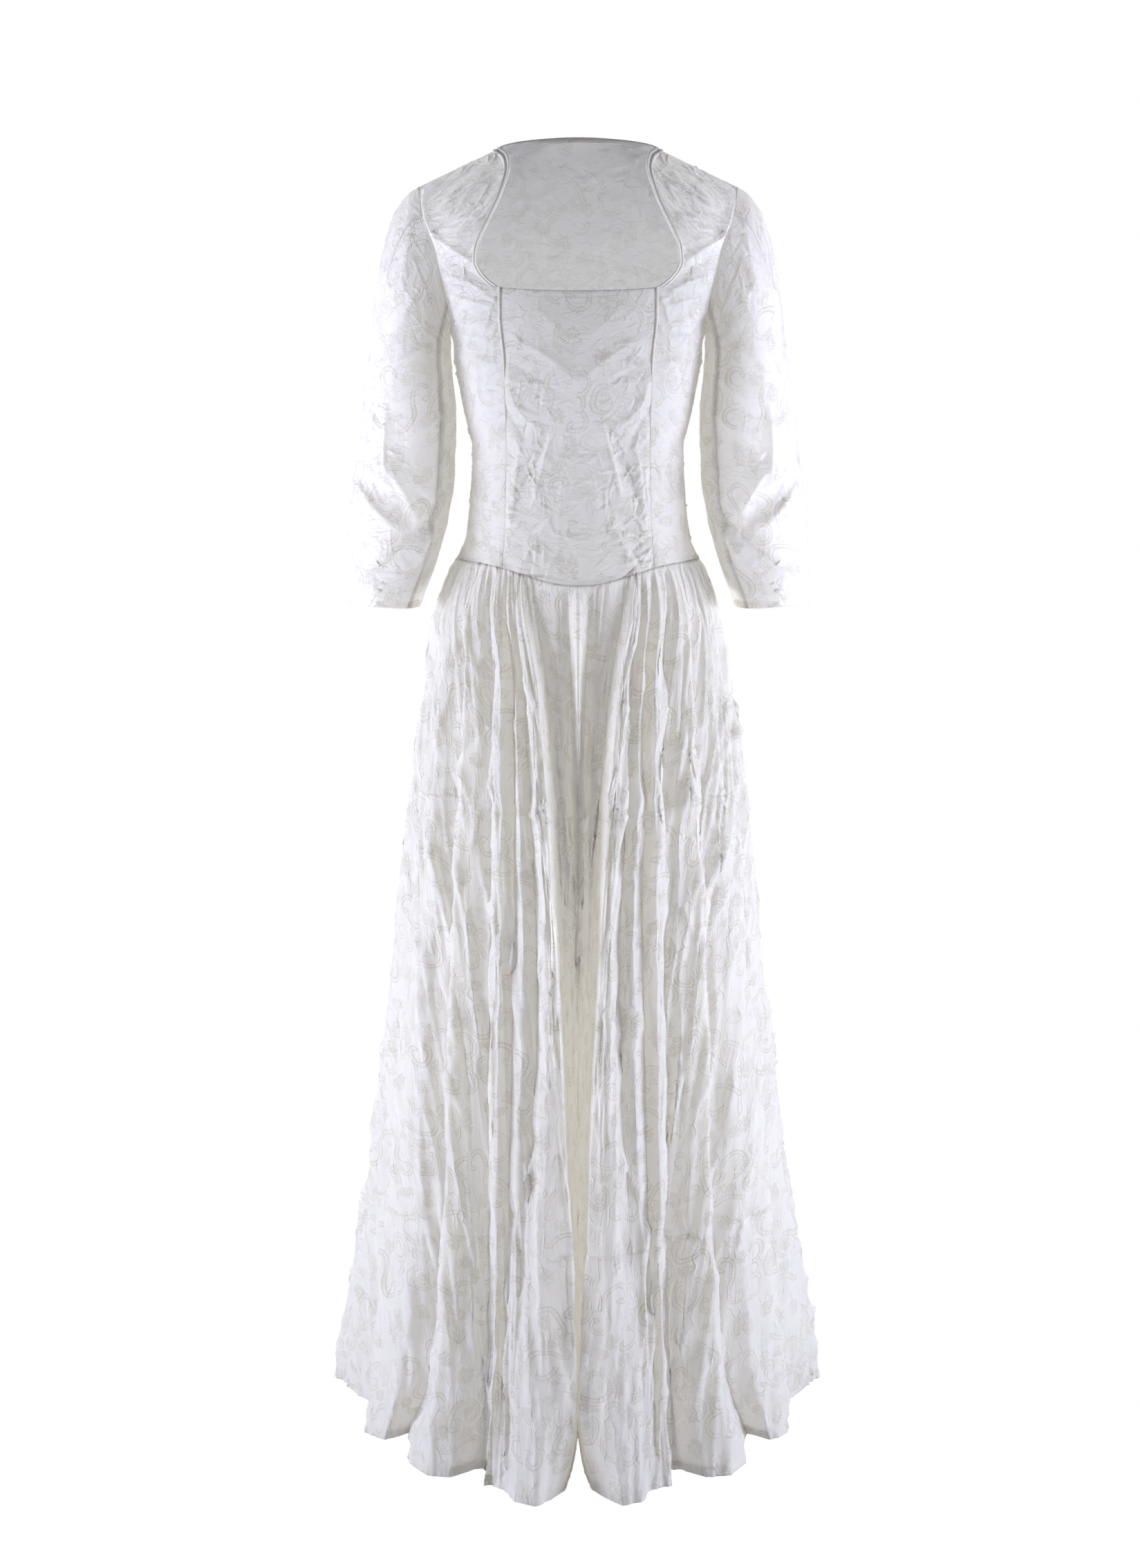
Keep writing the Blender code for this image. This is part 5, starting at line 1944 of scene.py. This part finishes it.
@dataclass
class Skirt:
    """The long skirt, gathered to the waist seam, with a narrow hem."""

    form: SkirtForm
    finishes: Finishes
    gathers: Gathers = Gathers()
    front_per_line: int = 11
    back_per_line: int = 18
    rows: int = 176
    hem_rows: int = 12
    fullness: float = 2.2
    seam: tuple[float, float] = (0.9, 2.5)
    hem_stitch: tuple[float, float, float] = (0.4, 1.5, 9.0)
    hem_depth: float = 0.8
    back_gather_start: float = 700.0
    fold_share: tuple[float, float] = (0.2, 0.8)
    pleat_share: tuple[float, float] = (0.6, 0.4)
    pleat_reach: float = 200.0
    crumple_share: tuple[float, float] = (0.25, 0.75)
    crumple_reach: float = 120.0
    crease_share: float = 0.1
    tongue_half: float = 12.0
    tongue_spread: float = 2.2
    tongue_length: float = 150.0
    tongue_fade: float = 1.4
    pleats: Crumple = Crumple(
        spacing=9.0, length=230.0, width=2.0, height=3.4, lean=89.0, spread=3.0, facet=0.0, ridges=0.88,
        seed=SEED + 11,
    )
    crumple: Crumple = Crumple(
        spacing=24.0, length=80.0, width=4.2, height=3.0, lean=80.0, spread=26.0, facet=2.0, facet_size=80.0,
        seed=SEED + 9,
    )
    front_creases: tuple[Crease, ...] = (
        Crease(0, -440, 0, -590, 2.4, 8.0, taper=0.5),
        Crease(0, -448, 0, -640, 0.7, 1.6),
        Crease(33, -690, 54, -706, 5, 3.1),
        Crease(30, -672, 38, -694, 3, 3.1),
        Crease(60, -560, 66, -600, 3, 3.1),
        Crease(96, -596, 82, -640, 3, 3.1),
        Crease(140, -640, 118, -700, 3, 3.7),
        Crease(172, -720, 150, -790, 3.5, 4.3, bow=5),
        Crease(110, -760, 92, -830, 3, 3.7),
        Crease(196, -840, 168, -900, 4, 5, bow=-5),
        Crease(70, -900, 52, -980, 4, 4.3),
        Crease(150, -960, 128, -1030, 4, 5, bow=6),
        Crease(214, -1000, 190, -1080, 4, 5),
        Crease(40, -1060, 66, -1110, 4, 4.3),
        Crease(96, -1120, 70, -1180, 4.5, 4.3, bow=-5),
        Crease(180, -1150, 150, -1230, 5, 5.6),
        Crease(232, -1210, 206, -1290, 4.5, 5.6, bow=5),
        Crease(120, -1260, 98, -1340, 5, 5.6),
    )
    back_creases: tuple[Crease, ...] = (
        Crease(60, -620, 44, -690, 3, 4.3),
        Crease(120, -740, 98, -820, 4, 5, bow=5),
        Crease(40, -860, 60, -930, 4, 5),
        Crease(170, -920, 146, -1000, 4, 5, bow=-5),
        Crease(90, -1040, 66, -1110, 4.5, 5),
        Crease(200, -1120, 178, -1200, 4.5, 5.6),
        Crease(30, -1200, 52, -1290, 4.5, 5.6),
        Crease(130, -1240, 104, -1330, 5, 5.6, bow=5),
    )

    def build(self) -> list[Piece]:
        """Builds the front and the back.

        Returns:
            The two pieces.
        """
        front = self.panel(self.form.front_lines(), self.front_per_line, True)
        back = self.panel(self.form.back_lines(), self.back_per_line, False)
        return [
            cloth_piece(front, "skirt_front", self.finishes.gathered, "gathered"),
            cloth_piece(back, "skirt_back", self.finishes.gathered, "gathered"),
        ]

    def panel(self, lines: list[FoldLine], per_line: int, front: bool) -> Panel:
        """A skirt panel with its folds, gathers, creases and hem.

        The wrinkles fade out where the cloth runs back into a fold, so that it doesn't cross itself.

        Args:
            lines: the fold lines from side seam to side seam.
            per_line: how many columns lie between two of them.
            front: whether it is the front.

        Returns:
            The panel.
        """
        rows = self.form.rows(self.rows, self.hem_rows)
        points = self.form.pressed(self.form.surface(lines, per_line, rows, front))
        panel = Panel(points, self.flat(points, rows))
        down = (rows * (WAIST_Z - HEM_Z))[:, None]
        start = 0 if front else self.back_gather_start
        top = flat_map(points[:1], points.shape[1] // 2, True)[..., 0] + start
        calm = self.calm(points[..., 0], down) if front else 1.0
        panel.lift(self.gathers.lift(top, down) * calm)
        calm = calm * (self.fold_share[0] + self.fold_share[1] * panel.openness())
        share = self.pleat_share[0] + self.pleat_share[1] * blend(0.0, self.pleat_reach, down)
        panel.lift(self.pleats.lift(panel.flat) * share * calm)
        share = self.crumple_share[0] + self.crumple_share[1] * blend(0.0, self.crumple_reach, down)
        panel.lift(self.crumple.lift(panel.flat) * share * calm)
        creases = self.front_creases if front else self.back_creases
        panel.crease(creases, front, self.crease_share + panel.openness())
        panel.groove(SIDES, *self.seam)
        panel.groove((Rim.LAST_ROW,), *self.hem_stitch)
        panel.turn_under(Rim.LAST_ROW, 8, self.hem_depth)
        panel.turn_under(Rim.FIRST_ROW, 1)
        return panel

    def calm(self, x: np.ndarray, down: np.ndarray) -> np.ndarray:
        """0 on the smooth tongue of cloth that hangs from the middle of the front waist, 1 past it."""
        beside = blend(self.tongue_half, self.tongue_spread * self.tongue_half, np.abs(x))
        return np.maximum(beside, blend(self.tongue_length, self.tongue_fade * self.tongue_length, down))

    def flat(self, points: np.ndarray, rows: np.ndarray) -> np.ndarray:
        """Maps the panel on a flared cut: gathered into the waist, and as wide as the hem below.

        Args:
            points: the panel's points.
            rows: shares of its length.

        Returns:
            Each point's place on the flat cloth.
        """
        across = np.linalg.norm(np.diff(points, axis=1), axis=-1)
        hem, waist = across[-1].sum(), self.fullness * across[0].sum()
        lower = across[len(across) // 2 :].mean(axis=0)
        share = np.concatenate([[0], np.cumsum(lower)]) / lower.sum() - 0.5
        width = waist + (hem - waist) * rows[:, None]
        v = -(WAIST_Z - HEM_Z) * rows[:, None]
        return np.stack(np.broadcast_arrays(share * width, v), axis=-1)


@dataclass(frozen=True)
class SoftBox:
    """A rectangular studio light: its place, what it looks at, its sizes in metres and its power in watts.

    A grid in front of it narrows its light to the spread, in degrees.
    """

    name: str
    place: tuple[float, float, float]
    target: tuple[float, float, float]
    size: tuple[float, float]
    power: float
    spread: float = 180.0
    colour: str = "#F5F7FF"

    def build(self) -> None:
        """Adds the light."""
        data = bpy.data.lights.new(self.name, "AREA")
        data.shape = "RECTANGLE"
        data.color = linear_colour(self.colour)[:3]
        data.size, data.size_y = self.size
        data.energy = self.power
        data.spread = math.radians(self.spread)
        lamp = link(bpy.data.objects.new(self.name, data))
        lamp.location = self.place
        way = Vector(self.target) - Vector(self.place)
        lamp.rotation_euler = way.to_track_quat("-Z", "Y").to_euler()


@dataclass(frozen=True)
class Studio:
    """A white studio: a soft box on each side, one behind that glows through, and a pale floor."""

    camera_place: tuple[float, float, float] = (-0.009, -3.04, -0.1625)
    camera_pitch: float = 10.02
    lens: float = 60.76
    floor_drop: float = 0.02
    boxes: tuple[SoftBox, ...] = (
        SoftBox("left", (-1.7, -0.6, -0.66), (0, 0, -0.66), (0.8, 0.7), 42.0),
        SoftBox("right", (1.7, -0.6, -0.66), (0, 0, -0.66), (0.8, 0.7), 42.0),
        SoftBox("left_sleeve", (-1.5, -1.1, -0.75), (-0.23, 0, -0.24), (0.12, 0.52), 0.36, 11.0),
        SoftBox("right_sleeve", (1.5, -1.1, -0.75), (0.23, 0, -0.24), (0.12, 0.52), 0.36, 11.0),
        SoftBox("behind", (0.0, 2.2, -0.7), (0, 0, -0.7), (1.4, 0.9), 29.0),
    )
    sky: str = "#C9CCDD"
    sky_strength: float = 0.55
    overhead_share: float = 0.25
    floor_colour: str = "#C4C4C8"
    floor_half: float = 6.0

    def build(self) -> None:
        """Adds the camera, the lights, the surroundings and the floor."""
        self.camera()
        for box in self.boxes:
            box.build()
        self.surroundings()
        self.floor()
        bpy.context.scene.view_settings.view_transform = "Standard"

    def camera(self) -> None:
        """The photograph's own place, looking slightly down."""
        data = bpy.data.cameras.new("photo_camera")
        data.lens = self.lens
        data.sensor_width = 36.0
        camera = link(bpy.data.objects.new("photo_camera", data))
        camera.location = self.camera_place
        camera.rotation_euler = Euler((math.radians(90 - self.camera_pitch), 0, 0))
        bpy.context.scene.camera = camera

    def surroundings(self) -> None:
        """White to the eye, and as light a dim cool grey that darkens overhead."""
        world = bpy.data.worlds.new("white_studio")
        bpy.context.scene.world = world
        world.use_nodes = True
        tree = world.node_tree
        tree.nodes.clear()
        seen = add(tree, "ShaderNodeLightPath", output="Is Camera Ray")
        way = add(tree, "ShaderNodeTexCoord", output="Generated")
        height = add(tree, "ShaderNodeSeparateXYZ", {0: way}, 2)
        overhead = self.sky_strength * self.overhead_share
        level = self.sky_strength
        light = add(tree, "ShaderNodeMapRange", {0: height, 1: 0.0, 2: 1.0, 3: level, 4: overhead})
        dim = add(tree, "ShaderNodeBackground", {0: linear_colour(self.sky), 1: light})
        white = add(tree, "ShaderNodeBackground", {0: (1, 1, 1, 1), 1: 1.0})
        both = add(tree, "ShaderNodeMixShader", {0: seen, 1: dim, 2: white})
        add(tree, "ShaderNodeOutputWorld", {0: both})

    def floor(self) -> None:
        """A pale matt floor."""
        mesh = bmesh.new()
        bmesh.ops.create_grid(mesh, x_segments=8, y_segments=8, size=self.floor_half)
        bmesh.ops.translate(mesh, verts=mesh.verts, vec=(0, 0, HEM_Z * MM - self.floor_drop))
        data = bpy.data.meshes.new("floor")
        mesh.to_mesh(data)
        mesh.free()
        material = bpy.data.materials.new("pale_floor")
        material.use_nodes = True
        tree = material.node_tree
        tree.nodes.clear()
        seen = add(tree, "ShaderNodeLightPath", output="Is Camera Ray")
        matt = add(tree, "ShaderNodeBsdfDiffuse", {"Color": linear_colour(self.floor_colour)})
        white = add(tree, "ShaderNodeEmission", {"Color": (1, 1, 1, 1), "Strength": 1.0})
        both = add(tree, "ShaderNodeMixShader", {0: seen, 1: matt, 2: white})
        add(tree, "ShaderNodeOutputMaterial", {0: both})
        data.materials.append(material)
        link(bpy.data.objects.new("floor", data))


def declare(piece: Piece) -> None:
    """Attaches a piece to the body, hides the solid that it stands for, and logs how its cloth is cut.

    Args:
        piece: the piece.
    """
    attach(piece.thing, BODY)
    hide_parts(piece.node)
    if piece.held:
        LOG.info("%s: cut %.3f x %.3f m, area %.3f m2", piece.thing.name, *piece.cut, piece.area)
    else:
        LOG.info("%s: a trim", piece.thing.name)


def main() -> None:
    """Builds the dress and its studio."""
    logging.basicConfig(level=logging.INFO)
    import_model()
    finishes = Finishes(
        voile=Voile("white_printed_voile").material(),
        gathered=Voile(
            "white_printed_voile_gathered", lean=0.04, stretch=(1.5, 0.13, 1.0),
            creases=((24.0, 1.8, 0.8), (9.0, 1.1, 0.45)), pressed=(260.0, 733.0),
        ).material(),
        # Painted light: the binding's cloth is a lighter white than the panels' voile, to lift the shade that
        # falls on the bound neck edges.
        binding=Voile("white_bound_voile_painted_light", cloth="#F6F5F7", printed=False, let_through=0.42).material(),
    )
    body = BodyForm()
    pieces = Bodice(body, finishes).build()
    pieces += Sleeves(SleeveForm(body), finishes).build()
    pieces += Skirt(SkirtForm(body), finishes).build()
    for piece in pieces:
        declare(piece)
    Studio().build()


if __name__ == "__main__":
    main()
